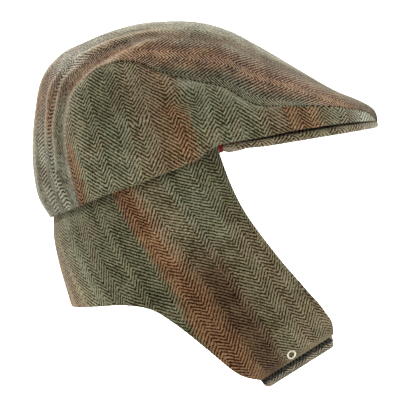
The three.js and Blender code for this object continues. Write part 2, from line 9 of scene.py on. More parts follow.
import bpy
import numpy as np
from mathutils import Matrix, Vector


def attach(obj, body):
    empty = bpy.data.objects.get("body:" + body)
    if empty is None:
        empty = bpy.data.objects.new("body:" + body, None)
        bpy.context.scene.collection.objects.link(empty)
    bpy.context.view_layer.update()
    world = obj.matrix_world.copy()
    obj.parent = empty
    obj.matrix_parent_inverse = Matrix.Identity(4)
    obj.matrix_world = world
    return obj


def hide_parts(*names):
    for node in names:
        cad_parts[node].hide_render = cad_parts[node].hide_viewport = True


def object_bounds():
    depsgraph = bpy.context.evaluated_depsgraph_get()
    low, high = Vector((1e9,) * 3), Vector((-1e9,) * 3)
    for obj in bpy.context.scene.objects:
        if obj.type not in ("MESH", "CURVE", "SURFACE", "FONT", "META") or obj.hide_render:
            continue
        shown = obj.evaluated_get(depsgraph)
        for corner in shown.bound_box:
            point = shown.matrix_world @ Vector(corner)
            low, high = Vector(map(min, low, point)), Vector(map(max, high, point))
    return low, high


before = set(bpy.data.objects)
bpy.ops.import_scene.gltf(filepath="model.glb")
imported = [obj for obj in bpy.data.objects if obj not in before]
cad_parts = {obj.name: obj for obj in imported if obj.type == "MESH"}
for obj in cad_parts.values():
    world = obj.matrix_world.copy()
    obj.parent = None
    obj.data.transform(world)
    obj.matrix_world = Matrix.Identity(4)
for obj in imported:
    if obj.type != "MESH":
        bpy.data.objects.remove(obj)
cad_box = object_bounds()

MM = 0.001
UV_SIZE = 100.0  # millimetres of cloth for each unit of the UV map

# The CAD model's own sizes
GAP = 0.3
TILT = math.radians(21.8)
CLOTH = 2.0
FLAP = 3.0
LINING = 1.0
HEM_BACK = 98.0
HEM_SIDE = 88.0
HEM_LIFT = 2.5
HEM_FRONT = 97.4
FLAP_TUCK = 8.0
BROW_X = 94.4
BROW_HALF = 84.2
PEAK_ROOT_X = 39.5
PEAK_TIP_X = 164.0
PEAK_HALF = 84.0
PEAK_POWER = 2.2
PEAK_THICK = 6.0
PEAK_ROOT_THICK = 3.6
PEAK_ROOT_Z = 19.0
PEAK_RIM_RISE = 0.158
PEAK_HUMP = 3.0
CROWN_INSET = 0.6
STRAP_ANGLE = math.radians(32.3)
CHIN_AT = 132.5
CHIN_RADIUS = 63.0
CHIN_STEP = 6.5  # how much closer the left flap's loop runs, and over which turn it comes in
STEP_FROM = 0.35
STEP_OVER = 0.9
FLARE = 0.00125
DRAPE = 85.0
RIGHT_END = 182.3
LEFT_END = 295.0
LEFT_LEAN = 3.0
STRAP_LOW = -29.0
STRAP_HIGH = 37.6
LINING_TOP_X = -6.0
LINING_TOP_Z = 111.5
LINING_ROUND = 2.45
LINING_DROP = 1.5
SNAP_BACK = 8.0
SNAP_ACROSS = 1.5
SEAM_CORNER = 0.37

# How the left flap's strap differs from the CAD model's
STRAP_DIP = 4.0  # how far the left flap dips inwards behind the right flap's end
STRAP_DIP_AT = 269.0
STRAP_DIP_LENGTH = 7.0
STRAP_ROUND = 2.6  # how much its corners are rounded where it turns away under the chin
STRAP_TURN = 4.5  # how much narrower the strap is at the lowest point of its loop
STRAP_TURN_AT = 226.0
STRAP_TURN_LENGTH = 13.0


def table(names, *rows):
    return dict(zip(names.split(), np.array(rows, float).T))


CENTRE = table(
    "at cx cz mx my mz turn dip",
    (0.0, -98, -39.2, -72.4, 59.3, -27.8, 45, -16),
    (0.07, -108, -21, -77.8, 62, -3.4, 45, -6),
    (0.14, -112.6, 10, -81, 64, 15.7, 44, 0),
    (0.22, -110.8, 40, -81.6, 65, 35.7, 42, 8),
    (0.3, -105, 72, -76.5, 65, 57.7, 34, 24),
    (0.37, -88, 92, -63.6, 67, 73.7, 20, 42),
    (0.44, -61.6, 105.6, -48, 71, 82.3, 10, 50),
    (0.5, -36, 113.6, -27.7, 76, 83, 4, 54),
    (0.56, -10, 117.8, -8, 83, 75.1, 0, 58),
    (0.64, 22, 117, 20, 85.5, 67.7, -2, 60),
    (0.7, 46, 110, 41, 84.5, 62.7, -4, 58),
    (0.76, 70, 97.2, 64, 82.5, 50.1, -6, 54),
    (0.83, 97, 81.6, 91, 76.5, 49.2, -10, 44),
    (0.91, 127, 63.6, 122, 60, 49.2, -20, 36),
    (0.96, 149, 54.4, 144, 39, 47.5, -30, 30),
    (0.985, 160.4, 47.8, 156, 25, 44.4, -36, 16),
    (1.0, 163.2, 40.2, 161, 14, 40.7, -40, 4),
)
SIDE = table(
    "at hem leave reach full",
    (0.37, -72.4, 88, 92, 0.34),
    (0.44, -57, 66, 108, 0.34),
    (0.5, -37, 62, 111, 0.34),
    (0.56, -15, 64, 112, 0.34),
    (0.64, 12, 66, 112, 0.34),
    (0.7, 34, 70, 106, 0.33),
    (0.76, 60, 78, 98, 0.33),
    (0.83, 90, 80, 96, 0.33),
    (0.91, 124, 80, 96, 0.33),
    (0.96, 147, 78, 94, 0.33),
    (1.0, 161.6, 60, 80, 0.1),
)
BROW_GAP = table("at gap", (38, 1.3), (58, 1.9), (100, 2.4), (135, 2.1), (155, 1.7), (165, 1.1))
FRONT_EDGE = table(
    "at e v", (0, 40.6, -1.2), (0.2, 32.7, 36.3), (0.4, 30.6, 68.4), (0.66, 33.4, 110),
    (0.84, 38.3, 143), (0.94, 41.6, 167), (1, 37.6, 182.3)
)
LOWER_EDGE = table(
    "at x z", (0.22, -81.6, -110), (0.37, -60, -107.4), (0.48, -37, -105.4), (0.58, -15.4, -108.6),
    (0.67, 3.1, -119.8), (0.79, 27.8, -139.3), (0.91, 53.7, -161.1), (1, 72.8, -169.6)
)
NAPE = table(
    "at x", (-112, -80.4), (-104, -83), (-92, -86.6), (-79, -90.4), (-66, -93.4), (-54, -95.4),
    (-44, -95.6), (40, -95.6)
)
# Folds seen from the side: the middle, the way they run, how long and wide they are, and how high
SIDE_FOLDS = [
    (54, 52, -42, 20, 4, 2.6),
    (60, 61, -42, 18, 3.5, -2.4),
    (2, 54, 20, 12, 5, -3.0),
    (10, 46, -50, 16, 5, 1.8),
    (-10, 4, 40, 12, 4, -1.2),
    (22, 14, 30, 16, 4, -1.4),
]
FLAP_FOLDS = [
    (54, -84, -45, 34, 8, 2),
    (-20, -70, -60, 30, 12, -1.6),
]
# Creases of the centre panel: where they lie across it, by the place along it
BACK_RIDGE = table(
    "at across", (0, 0.78), (0.14, 0.84), (0.21, 0.82), (0.25, 0.82), (0.28, 0.79),
    (0.315, 0.76), (0.37, 0.75)
)
SEAM_RIDGE = table(
    "at across", (0.4, 1.02), (0.436, 0.98), (0.456, 0.94), (0.483, 0.88),
    (0.503, 0.8), (0.53, 0.69), (0.58, 0.58)
)
TOP_RIDGE = table(
    "at across", (0.34, 0.56), (0.383, 0.63), (0.403, 0.68), (0.443, 0.67),
    (0.47, 0.63), (0.53, 0.51), (0.6, 0.42)
)
OUTER_RIDGE = table(
    "at across", (0.1, 0.66), (0.2, 0.65), (0.242, 0.62), (0.262, 0.57), (0.295, 0.55), (0.34, 0.56)
)
BACK_VALLEY = table(
    "at across", (0.05, 0.73), (0.24, 0.74), (0.28, 0.72), (0.3, 0.7), (0.32, 0.68), (0.36, 0.64)
)
TOP_VALLEY = table("at across", (0.4, 0.84), (0.45, 0.78), (0.483, 0.72), (0.517, 0.61), (0.56, 0.52))
MIDDLE_RIDGE = table("at across", (0, 0.3), (0.14, 0.36), (0.3, 0.26), (0.44, 0.2))
OUTER_FOLD = table(
    "at across", (0.36, 0.42), (0.39, 0.4), (0.423, 0.36), (0.456, 0.37), (0.49, 0.43), (0.57, 0.37)
)
# Each crease's table, its first and last place, how wide its ridge is across the panel, and how high
TOP_CREASES = [
    (BACK_RIDGE, 0.01, 0.37, 0.032, 2.6),
    (BACK_RIDGE, 0.01, 0.37, 0.11, 1.0),
    (SEAM_RIDGE, 0.4, 0.58, 0.034, 2.0),
    (TOP_RIDGE, 0.34, 0.6, 0.036, 1.6),
    (OUTER_RIDGE, 0.12, 0.34, 0.036, 1.6),
    (BACK_VALLEY, 0.05, 0.38, 0.05, -0.8),
    (TOP_VALLEY, 0.4, 0.56, 0.045, -1.2),
    (OUTER_FOLD, 0.38, 0.56, 0.022, -0.9),
    (MIDDLE_RIDGE, 0.0, 0.42, 0.05, 1.5),
]
CREASE_EASE = 0.06
HIGHLIGHT_WIDTH = 0.06  # only creases narrower than this get a painted highlight on their ridges
# How strong the painted highlight on the centre panel's narrow ridges is, and the painted shade in its
# valleys
RIDGE_PALE = 0.85
VALLEY_DARK = 0.3
RIDGE_AT_HEM = 0.25  # how much of the ridges' painted highlight is left at the hem
RIDGE_FADE = (0.05, 0.1)  # from where, and over what stretch, it comes up to full
# How strong the painted highlight along the centre panel's seam lips is
LIP_PALE = 0.8
LIP_PALE_END = (0.47, 0.04)  # where along the seam the painted highlight on the lip has ended, and over what stretch
LIP_WIDTH = 0.05
SEAM_DRAW = 0.9  # how far the side panels are drawn in along their seams
SEAM_DRAW_AT = 2.0
SEAM_DRAW_WIDTH = 4.0
SEAM_LIP = 0.9  # how far the centre panel stands up along its seams
TOP_FULL = (0.345, 0.43)  # how full the centre panel's curves are at its middle, at the back and in front
SEAM_FULL = 0.34
BACK_BLEND = 0.172  # the share of the seam over which a side panel turns down from its back seam
SIDE_FREE = 0.08  # the share over which its unevenness comes up
WAVES = 7  # how many waves the unevenness of the cloth is made of

Y, Z = np.eye(3)[1:]


def smooth(value):
    share = np.clip(value, 0, 1)
    return share * share * (3 - 2 * share)


def mix(a, b, share):
    return a + (b - a) * share


def bell(distance, width):
    return np.exp(-(distance / width) ** 2)


def middle_of(share, steep):
    """0 at both ends of a share that runs from 0 to 1, and 1 between them."""
    return smooth(share * steep) * smooth((1 - share) * steep)


def unit(vectors):
    return vectors / np.maximum(np.linalg.norm(vectors, axis=-1, keepdims=True), 1e-9)


def column(rows, name):
    """The smooth curve through one column of a table."""
    places, values = rows["at"], rows[name]
    after = np.r_[np.arange(1, len(places)), len(places) - 1]
    before = np.r_[0, np.arange(len(places) - 1)]
    slopes = (values[after] - values[before]) / (places[after] - places[before])

    def curve(at):
        i = np.clip(np.searchsorted(places, at, side="left") - 1, 0, len(places) - 2)
        span = places[i + 1] - places[i]
        t = np.clip((at - places[i]) / span, 0, 1)
        start = t * (1 - t) ** 2 * span * slopes[i]
        end = t * t * (1 - t) * span * slopes[i + 1]
        return mix(values[i], values[i + 1], smooth(t)) + start - end

    return curve


def columns(rows):
    return {name: column(rows, name) for name in rows if name != "at"}


def xyz(x, y, z):
    return np.stack(np.broadcast_arrays(x, y, z), -1).astype(float)


def sections(start, leave, end, arrive, start_full, end_full, shares):
    """A grid of points: one cubic curve of cloth for each start and end."""
    far = np.linalg.norm(end - start, axis=-1, keepdims=True)
    second = start + leave * far * np.reshape(start_full, (-1, 1))
    third = end - arrive * far * np.reshape(end_full, (-1, 1))
    t = shares[None, :, None]
    start, second, third, end = (p[:, None, :] for p in (start, second, third, end))
    return (
        (1 - t) ** 3 * start + 3 * (1 - t) ** 2 * t * second
        + 3 * (1 - t) * t * t * third + t ** 3 * end
    )


def fold_rise(folds, x, z):
    rise = 0
    for fold_x, fold_z, run, length, width, height in folds:
        run = math.radians(run)
        along = (x - fold_x) * math.cos(run) + (z - fold_z) * math.sin(run)
        across = (z - fold_z) * math.cos(run) - (x - fold_x) * math.sin(run)
        rise = rise + height * np.exp(-(along / length) ** 2 - (across / width) ** 2)
    return rise


def ways(grid, inside):
    """The directions out of the cloth, away from the points of inside."""
    down = np.gradient(grid, axis=0)
    over = np.gradient(grid, axis=1)
    way = unit(np.cross(down, over))
    if np.sum(np.einsum("ijk,ijk->ij", way, grid - inside)) < 0:
        way = -way
    return way


def lengths(grid, axis):
    """The distance along a grid's lines from their first point."""
    parts = np.linalg.norm(np.diff(grid, axis=axis), axis=-1)
    start = np.zeros_like(np.take(parts, [0], axis=axis))
    return np.concatenate([start, np.cumsum(parts, axis=axis)], axis=axis)


def ripples(grid, height, size, seed):
    """Soft unevenness of cloth, of about the given height, with waves of about the given size."""
    random = np.random.default_rng(seed)
    total = np.zeros(grid.shape[:2])
    for _ in range(WAVES):
        way = unit(random.normal(size=3))
        wave = size * random.uniform(0.7, 1.6)
        bend = unit(random.normal(size=3))
        phase = random.uniform(0, 2 * math.pi)
        shift = 1.2 * np.sin(grid @ bend * 2 * math.pi / (wave * 2.3) + phase)
        total += np.sin(grid @ way * 2 * math.pi / wave + shift + phase)
    return height * (total / WAVES * 1.6)


# The crown's outline and surfaces

centre = columns(CENTRE)
side = columns(SIDE)
brow_gap = column(BROW_GAP, "gap")


def band_height(x, y):
    return x * math.tan(TILT) + HEM_LIFT * (y / HEM_SIDE) ** 2 * smooth((-20 - x) / 50)


def peak_rim_top(x):
    return PEAK_ROOT_Z + PEAK_RIM_RISE * (x - PEAK_ROOT_X)


def crown_edge_half(x):
    share = np.clip((x - PEAK_ROOT_X) / (PEAK_TIP_X - CROWN_INSET - PEAK_ROOT_X), 0, 1)
    return (PEAK_HALF - CROWN_INSET) * (1 - share ** PEAK_POWER) ** (1 / PEAK_POWER)


def hem_point(x):
    oval = HEM_SIDE * np.sqrt(1 - np.clip(-x / HEM_BACK, 0, 1) ** 2)
    y = mix(oval, crown_edge_half(x), smooth(x / 50))
    z = mix(band_height(x, y), peak_rim_top(x) + brow_gap(x), smooth((x - 17) / 22))
    return xyz(x, -y, z)


def hem_out(x):
    along = hem_point(x + 0.5) - hem_point(x - 0.5)
    return unit(xyz(along[..., 1], -along[..., 0], 0))


def heading(out, dip):
    """The way out, turned down by dip degrees."""
    down = np.radians(dip)[:, None]
    return out * np.cos(down) - Z * np.sin(down)


def crease_lines(at, across):
    """How near each crease of the centre panel is, from 0 to 1, and its height."""
    for line, start, end, width, height in TOP_CREASES:
        between = smooth((at - start) / CREASE_EASE) * smooth((end - at) / CREASE_EASE)
        middle = np.interp(at, line["at"], line["across"])
        yield between * bell(across - middle, width), height, width


def seam_lip(at, across):
    return bell(1 - across, LIP_WIDTH) * smooth(at / 0.1)


def top_fold_rise(at, across):
    rise = sum(near * height for near, height, _ in crease_lines(at, across))
    return rise * smooth((1 - across) * 8) + SEAM_LIP * seam_lip(at, across)


def top_painted_light(at, across):
    """The painted highlight on the centre panel's ridges and seam lips, less the painted shade in its
    valleys.
    """
    lines = list(crease_lines(at, across))
    painted_shade = sum(near for near, height, _ in lines if height < 0)
    painted_light = sum(near for near, height, width in lines if height > 0 and width < HIGHLIGHT_WIDTH)
    painted_light = painted_light * mix(RIDGE_AT_HEM, 1, smooth((at - RIDGE_FADE[0]) / RIDGE_FADE[1]))
    lip = LIP_PALE * seam_lip(at, across) * smooth((LIP_PALE_END[0] - at) / LIP_PALE_END[1])
    painted_light = np.clip(painted_light + lip, 0, 1)
    return RIDGE_PALE * painted_light - VALLEY_DARK * painted_shade


def crown_middle(grid):
    """The point on a line inside the crown that each place of the grid looks away from."""
    x = mix(-10, 40, np.clip((grid[..., 0] + 40) / 160, 0, 1))
    return xyz(x, 0, 20)


def top_half(places, shares):
    turn = np.radians(centre["turn"](places))
    arrive = heading(xyz(np.sin(turn), -np.cos(turn), 0), centre["dip"](places))
    start = xyz(centre["cx"](places), 0, centre["cz"](places))
    seam = xyz(centre["mx"](places), -centre["my"](places), centre["mz"](places))
    start_full = mix(*TOP_FULL, smooth((places - 0.1) / 0.3))
    leave = np.broadcast_to(-Y, start.shape)
    end_full = np.full(len(places), SEAM_FULL)
    grid = sections(start, leave, seam, arrive, start_full, end_full, shares)
    rise = top_fold_rise(places[:, None], shares[None, :])
    return grid + ways(grid, crown_middle(grid)) * rise[..., None]


def side_half(places, shares):
    """The right side panel. Its first row is the seam up the back, its first column the seam on top."""
    seam = top_half(places, np.array([0.98, 1.0]))[:, 1]
    back_places = SEAM_CORNER * (1 - shares)
    back_seam = top_half(back_places, np.array([0.98, 1.0]))[:, 1]
    x = side["hem"](places)
    out = hem_out(x)
    full = side["full"](places)
    plain = sections(seam, heading(out, side["leave"](places)), hem_point(x),
                     heading(out, side["reach"](places)), full, full, shares)
    near = 1 - smooth((places - SEAM_CORNER) / BACK_BLEND)
    grid = plain + near[:, None, None] * (back_seam - plain[0])[None]
    free = middle_of(shares, 4) * smooth((places[:, None] - SEAM_CORNER) / (BACK_BLEND / 2))
    rise = fold_rise(SIDE_FOLDS, grid[..., 0], grid[..., 2]) * free
    rise = rise - SEAM_DRAW * bell(lengths(grid, 1) - SEAM_DRAW_AT, SEAM_DRAW_WIDTH)
    return grid + ways(grid, crown_middle(grid)) * rise[..., None]


# The flaps' surfaces

FLAP_ACROSS = 60
FLAP_DOWN = 90
FLAP_EXTRA = 56
front_edge = columns(FRONT_EDGE)
lower_edge = columns(LOWER_EDGE)
nape = column(NAPE, "x")
SIN, COS = math.sin(STRAP_ANGLE), math.cos(STRAP_ANGLE)
NAPE_TOP = float(nape(0.0))


def strap_place(e, v):
    return e * COS + v * SIN, e * SIN - v * COS


def flap_points(p, z, step):
    back = -nape(z)
    bend = np.clip(p / NAPE_TOP / (math.pi / 2), 0, 1) * (math.pi / 2)
    x = np.where(p < 0, -back * np.sin(bend), p)
    e = x * COS + z * SIN
    v = x * SIN - z * COS
    below = x * math.sin(TILT) - z * math.cos(TILT)
    turn = (v - CHIN_AT) / (CHIN_RADIUS - step / 2)
    radius = CHIN_RADIUS - step * smooth((turn - STEP_FROM) / STEP_OVER)
    if step:
        radius = radius - STRAP_DIP * bell(v - STRAP_DIP_AT, STRAP_DIP_LENGTH)
    strap = np.where(turn > 0, radius * np.cos(turn), CHIN_RADIUS + FLARE * (CHIN_AT - v) ** 2)
    head = (HEM_SIDE - CLOTH - GAP - 0.1) * np.sqrt(1 - np.clip(x / HEM_FRONT, 0, 1) ** 2)
    half = mix(head, strap, smooth(below / DRAPE)) * np.cos(bend)
    down = np.where(turn > 0, CHIN_AT + radius * np.sin(turn), v)
    return xyz(e * COS + down * SIN, -half, e * SIN - down * COS)


def bent(x, z):
    """The length along the cloth that belongs to x, which is bent round the back of the head."""
    return np.where(x < 0, np.arcsin(np.clip(x / nape(z), 0, 1)) * NAPE_TOP, x)


TEMPLE = strap_place(front_edge["e"](0.0), front_edge["v"](0.0))
CORNER_AT, CORNER_Z = LOWER_EDGE["at"][0], LOWER_EDGE["z"][0]


def flap_top(a):
    bend = mix(math.pi / 2, math.asin(TEMPLE[0] / NAPE_TOP), a)
    return NAPE_TOP * bend, NAPE_TOP * np.sin(bend) * math.tan(TILT) + FLAP_TUCK / math.cos(TILT)


def flap_front(b):
    x, z = strap_place(front_edge["e"](b), front_edge["v"](b))
    return x, mix(flap_top(1.0)[1], z, smooth(b * 20))


def flap_back(b):
    at_back = b < CORNER_AT
    z = np.where(at_back, mix(flap_top(0.0)[1], CORNER_Z, b / CORNER_AT), lower_edge["z"](b))
    return np.where(at_back, NAPE_TOP * math.pi / 2, bent(lower_edge["x"](b), z)), z


def flap_end(a, v):
    lean = LEFT_LEAN * smooth((v - RIGHT_END) / 60)
    narrow = STRAP_ROUND * smooth((v - RIGHT_END) / 9)
    narrow = narrow + STRAP_TURN * bell(v - STRAP_TURN_AT, STRAP_TURN_LENGTH)
    return strap_place(mix(STRAP_LOW + narrow, STRAP_HIGH - 0.5 * narrow, a) - lean, v)


def flap_patch(a, b, part):
    """A flap's inner places, drawn between its four edges."""
    top, end = flap_top(a)[part], flap_end(a, RIGHT_END)[part]
    sides = mix(flap_back(b)[part], flap_front(b)[part], a)
    start = mix(flap_top(0.0)[part], flap_end(0.0, RIGHT_END)[part], b)
    finish = mix(flap_top(1.0)[part], flap_end(1.0, RIGHT_END)[part], b)
    return mix(top, end, b) + sides - mix(start, finish, a)


def flap_flat(end):
    """A flap's grid in its flat view, from the hem down to its end."""
    a = np.linspace(0, 1, FLAP_ACROSS + 1)[None, :]
    corner = round(FLAP_DOWN * CORNER_AT)
    below = np.linspace(CORNER_AT, 1, FLAP_DOWN - corner + 1)[1:]
    b = np.r_[np.linspace(0, CORNER_AT, corner + 1), below][:, None]
    p, z = flap_patch(a, b, 0), flap_patch(a, b, 1)
    if end > RIGHT_END:
        v = np.linspace(RIGHT_END, end, FLAP_EXTRA + 1)[1:, None]
        more = flap_end(a, v)
        p, z = np.vstack([p, more[0]]), np.vstack([z, more[1]])
    return p, z


def flap_inside(grid):
    v = np.minimum(grid[..., 0] * SIN - grid[..., 2] * COS, CHIN_AT)
    x, z = strap_place(grid[..., 0] * COS + grid[..., 2] * SIN, v)
    return xyz(np.maximum(x, -20), 0, z)


# Meshes

def add_mesh(name, points, faces, uvs, material, painted_light=None):
    """A mesh object, with an optional point attribute of painted light: 1 where a painted highlight lies on
    the cloth and -1 where painted shade lies in folds and under overlapping cloth.
    """
    mesh = bpy.data.meshes.new(name)
    mesh.from_pydata((points * MM).tolist(), [], faces)
    if painted_light is not None:
        mesh.attributes.new("painted_light", "FLOAT", "POINT").data.foreach_set("value", painted_light.astype(np.float32))
    if uvs is not None:
        layer = mesh.uv_layers.new(name="cloth")
        corner = np.empty(len(mesh.loops), np.int64)
        mesh.loops.foreach_get("vertex_index", corner)
        layer.data.foreach_set("uv", (uvs[corner] / UV_SIZE).astype(np.float32).ravel())
    mesh.materials.append(material)
    mesh.polygons.foreach_set("use_smooth", [True] * len(mesh.polygons))
    mesh.update()
    piece = bpy.data.objects.new(name, mesh)
    bpy.context.scene.collection.objects.link(piece)
    return piece


def grid_faces(rows, columns, start=0, tube=False, ring=False):
    """The faces of a grid of points. A tube's last column meets its first, and a ring's last row too."""
    i, j = np.meshgrid(np.arange(rows - (not ring)), np.arange(columns - (not tube)), indexing="ij")
    here, below = start + i * columns, start + (i + 1) % rows * columns
    beside = (j + 1) % columns
    return np.stack([here + j, here + beside, below + beside, below + j], -1).reshape(-1, 4)


def mesh_volume(points, faces):
    a, b, c, d = (points[faces[:, k]] for k in range(4))
    return float(np.sum(np.cross(a, b) * c) + np.sum(np.cross(a, c) * d)) / 6


def outward(points, faces, caps=()):
    """The faces and caps as lists, turned so that they face out of the solid."""
    every = faces.tolist() + list(caps)
    if mesh_volume(points, faces) < 0:
        every = [face[::-1] for face in every]
    return every


def border(down, across):
    """Once round a grid's border, as row and column numbers."""
    top = [(0, j) for j in range(across)]
    right = [(i, across - 1) for i in range(1, down)]
    bottom = [(down - 1, j) for j in range(across - 2, -1, -1)]
    left = [(i, 0) for i in range(down - 2, 0, -1)]
    return np.array(top + right + bottom + left)


def rounded_edges(outer, out, uvs, thick, loop, steps):
    """A sheet's two faces with their borders drawn in, and the rings of the rounded rim between them."""
    i, j = loop
    down, across = outer.shape[:2]
    inner_i, inner_j = np.clip(i, 1, down - 2), np.clip(j, 1, across - 2)
    edge = outer[i, j] - outer[inner_i, inner_j]
    edge_uv = uvs[i, j] - uvs[inner_i, inner_j]
    reach = np.linalg.norm(edge, axis=-1, keepdims=True)
    normal = out[i, j]
    away = unit(edge - np.sum(edge * normal, -1, keepdims=True) * normal)
    half = thick / 2
    outer, inner = outer.copy(), outer - out * thick
    draw = np.minimum(half, reach * 0.6)
    outer[i, j] -= away * draw
    inner[i, j] -= away * draw
    middle = (outer[i, j] + inner[i, j]) / 2
    rings, ring_uvs = [], []
    for turn in np.linspace(math.pi / 2, -math.pi / 2, steps + 2)[1:-1]:
        rings.append(middle + normal * half * math.sin(turn) + away * half * math.cos(turn))
        ring_uvs.append(uvs[i, j] + edge_uv / np.maximum(reach, 0.2) * half * math.cos(turn))
    return outer, inner, rings, ring_uvs


def cloth_piece(name, outer, out, uvs, thick, material, rim_steps=5, painted_light=None):
    """A closed sheet of cloth with rounded edges: outer is its outside, and out the ways out of it."""
    down, across = outer.shape[:2]
    i, j = border(down, across).T
    outer, inner, rings, ring_uvs = rounded_edges(outer, out, uvs, thick, (i, j), rim_steps)
    size, count = down * across, len(i)
    points = np.concatenate([outer.reshape(-1, 3), inner.reshape(-1, 3), *rings])
    flat = uvs.reshape(-1, 2)
    all_uvs = np.concatenate([flat, flat, *ring_uvs])
    rim = [i * across + j]
    rim += [2 * size + k * count + np.arange(count) for k in range(rim_steps)]
    rim += [size + i * across + j]
    faces = [grid_faces(down, across), grid_faces(down, across, size)[:, ::-1]]
    for first, second in zip(rim[:-1], rim[1:]):
        faces.append(np.stack([np.roll(first, -1), first, second, np.roll(second, -1)], -1))
    if painted_light is not None:
        painted_light = np.concatenate([painted_light.ravel(), np.zeros(painted_light.size), *[painted_light[i, j]] * rim_steps])
    return add_mesh(name, points, outward(points, np.concatenate(faces)), all_uvs, material, painted_light)


def closed_loft(name, rows, uvs, material):
    """A closed solid from rings of points, with flat ends."""
    count, around = rows.shape[:2]
    points = rows.reshape(-1, 3)
    ends = [list(range(around))[::-1], list(range((count - 1) * around, count * around))]
    faces = outward(points, grid_faces(count, around, tube=True), ends)
    return add_mesh(name, points, faces, uvs.reshape(-1, 2), material)


# Node materials

class Graph:
    """Adds nodes to a material by short calls; an input is a socket or a number."""

    def __init__(self, name):
        self.material = bpy.data.materials.new(name)
        self.material.use_nodes = True
        self.nodes = self.material.node_tree.nodes
        self.links = self.material.node_tree.links
        self.nodes.clear()

    def add(self, kind, **settings):
        node = self.nodes.new(kind)
        for name, value in settings.items():
            setattr(node, name, value)
        return node

    def put(self, socket, value):
        if isinstance(value, bpy.types.NodeSocket):
            self.links.new(value, socket)
        else:
            socket.default_value = value

    def fill(self, node, **values):
        """Sets a node's inputs by their names, with _ for a space."""
        for name, value in values.items():
            self.put(node.inputs[name.replace("_", " ")], value)
        return node

    def worked_out(self, node, *values):
        """Sets a node's inputs in their order, and gives its first output."""
        for socket, value in zip(node.inputs, values):
            self.put(socket, value)
        return node.outputs[0]

    def math(self, operation, *values):
        return self.worked_out(self.add("ShaderNodeMath", operation=operation), *values)

    def mix(self, share, first, second, blend="MIX"):
        node = self.add("ShaderNodeMix", data_type="RGBA", blend_type=blend)
        self.fill(node, Factor=share, A=first, B=second)
        return node.outputs["Result"]

    def times(self, shade, share):
        return self.mix(1.0, shade, self.combine(share, share, share), "MULTIPLY")

    def combine(self, x, y, z=0.0):
        return self.worked_out(self.add("ShaderNodeCombineXYZ"), x, y, z)

    def object_place(self):
        return self.add("ShaderNodeTexCoord").outputs["Object"]

    def noise(self, vector, scale, detail=2.0, roughness=0.5):
        node = self.add("ShaderNodeTexNoise")
        self.fill(node, Vector=vector, Scale=scale, Detail=detail, Roughness=roughness)
        return node.outputs["Fac"]

    def ramp(self, value, stops, interpolation="LINEAR"):
        node = self.add("ShaderNodeValToRGB")
        node.color_ramp.interpolation = interpolation
        elements = node.color_ramp.elements
        while len(elements) < len(stops):
            elements.new(0.5)
        for element, (place, colour) in zip(elements, stops):
            element.position = place
            element.color = colour
        self.put(node.inputs["Fac"], value)
        return node.outputs["Color"]

    def rescale(self, value, low, high, to_low=0.0, to_high=1.0):
        return self.worked_out(self.add("ShaderNodeMapRange"), value, low, high, to_low, to_high)

    def shade(self, height=None, distance=0.0003, strength=1.0, **values):
        shader = self.fill(self.add("ShaderNodeBsdfPrincipled"), **values)
        if height is not None:
            bump = self.add("ShaderNodeBump")
            self.fill(bump, Strength=strength, Distance=distance, Height=height)
            self.links.new(bump.outputs["Normal"], shader.inputs["Normal"])
        output = self.add("ShaderNodeOutputMaterial")
        self.links.new(shader.outputs[0], output.inputs["Surface"])
        return self.material


def colour(red, green, blue):
    """A screen colour from 0 to 255, as Blender's linear light."""
    values = [c / 255 for c in (red, green, blue)]
    return tuple(c / 12.92 if c <= 0.04045 else ((c + 0.055) / 1.055) ** 2.4 for c in values) + (1.0,)


GREEN = colour(132, 134, 110)
SAGE = colour(143, 144, 120)
OLIVE = colour(138, 132, 104)
TAN = colour(144, 131, 106)
BROWN = colour(142, 126, 101)
RUST = colour(152, 127, 96)
DEEP_RUST = colour(150, 115, 82)
RUSSET = colour(139, 105, 73)
DARK_GREEN = colour(116, 116, 90)
PALE = colour(175, 178, 166)
WARM = colour(146, 123, 94)
UMBER = colour(104, 84, 60)
DIM = colour(134, 126, 104)
# The colour that a painted highlight lightens the cloth towards
PAINTED_HIGHLIGHT = colour(176, 160, 138)
FADED = colour(160, 149, 127)
PALE_GREEN = colour(152, 156, 136)
SHEEN_TINT = colour(240, 233, 218)
RED_FLECK = colour(140, 58, 42)
PALE_FLECK = colour(206, 200, 178)

# One repeat of the herringbone: the widths of its columns, whose lines climb and fall by turns
COLUMNS = (15.0, 6.5, 15.2, 10.0, 7.6, 10.5)
REPEAT = sum(COLUMNS)
WALE = 3.4  # from one line to the next along a column
SLOPE = 1.06  # how far the lines climb for each millimetre across a column
# The dark threads' colour is the light threads' times itself, times this
DARK_GAIN = (0.36, 0.3, 0.04, 1.0)
TOP_DARK_GAIN = (0.24, 0.13, 0.0, 1.0)
# The left flap's copy has far darker dark threads: painted shade for its strap under the chin
STRAP_SHADED_DARK_GAIN = (0.1, 0.07, 0.02, 1.0)


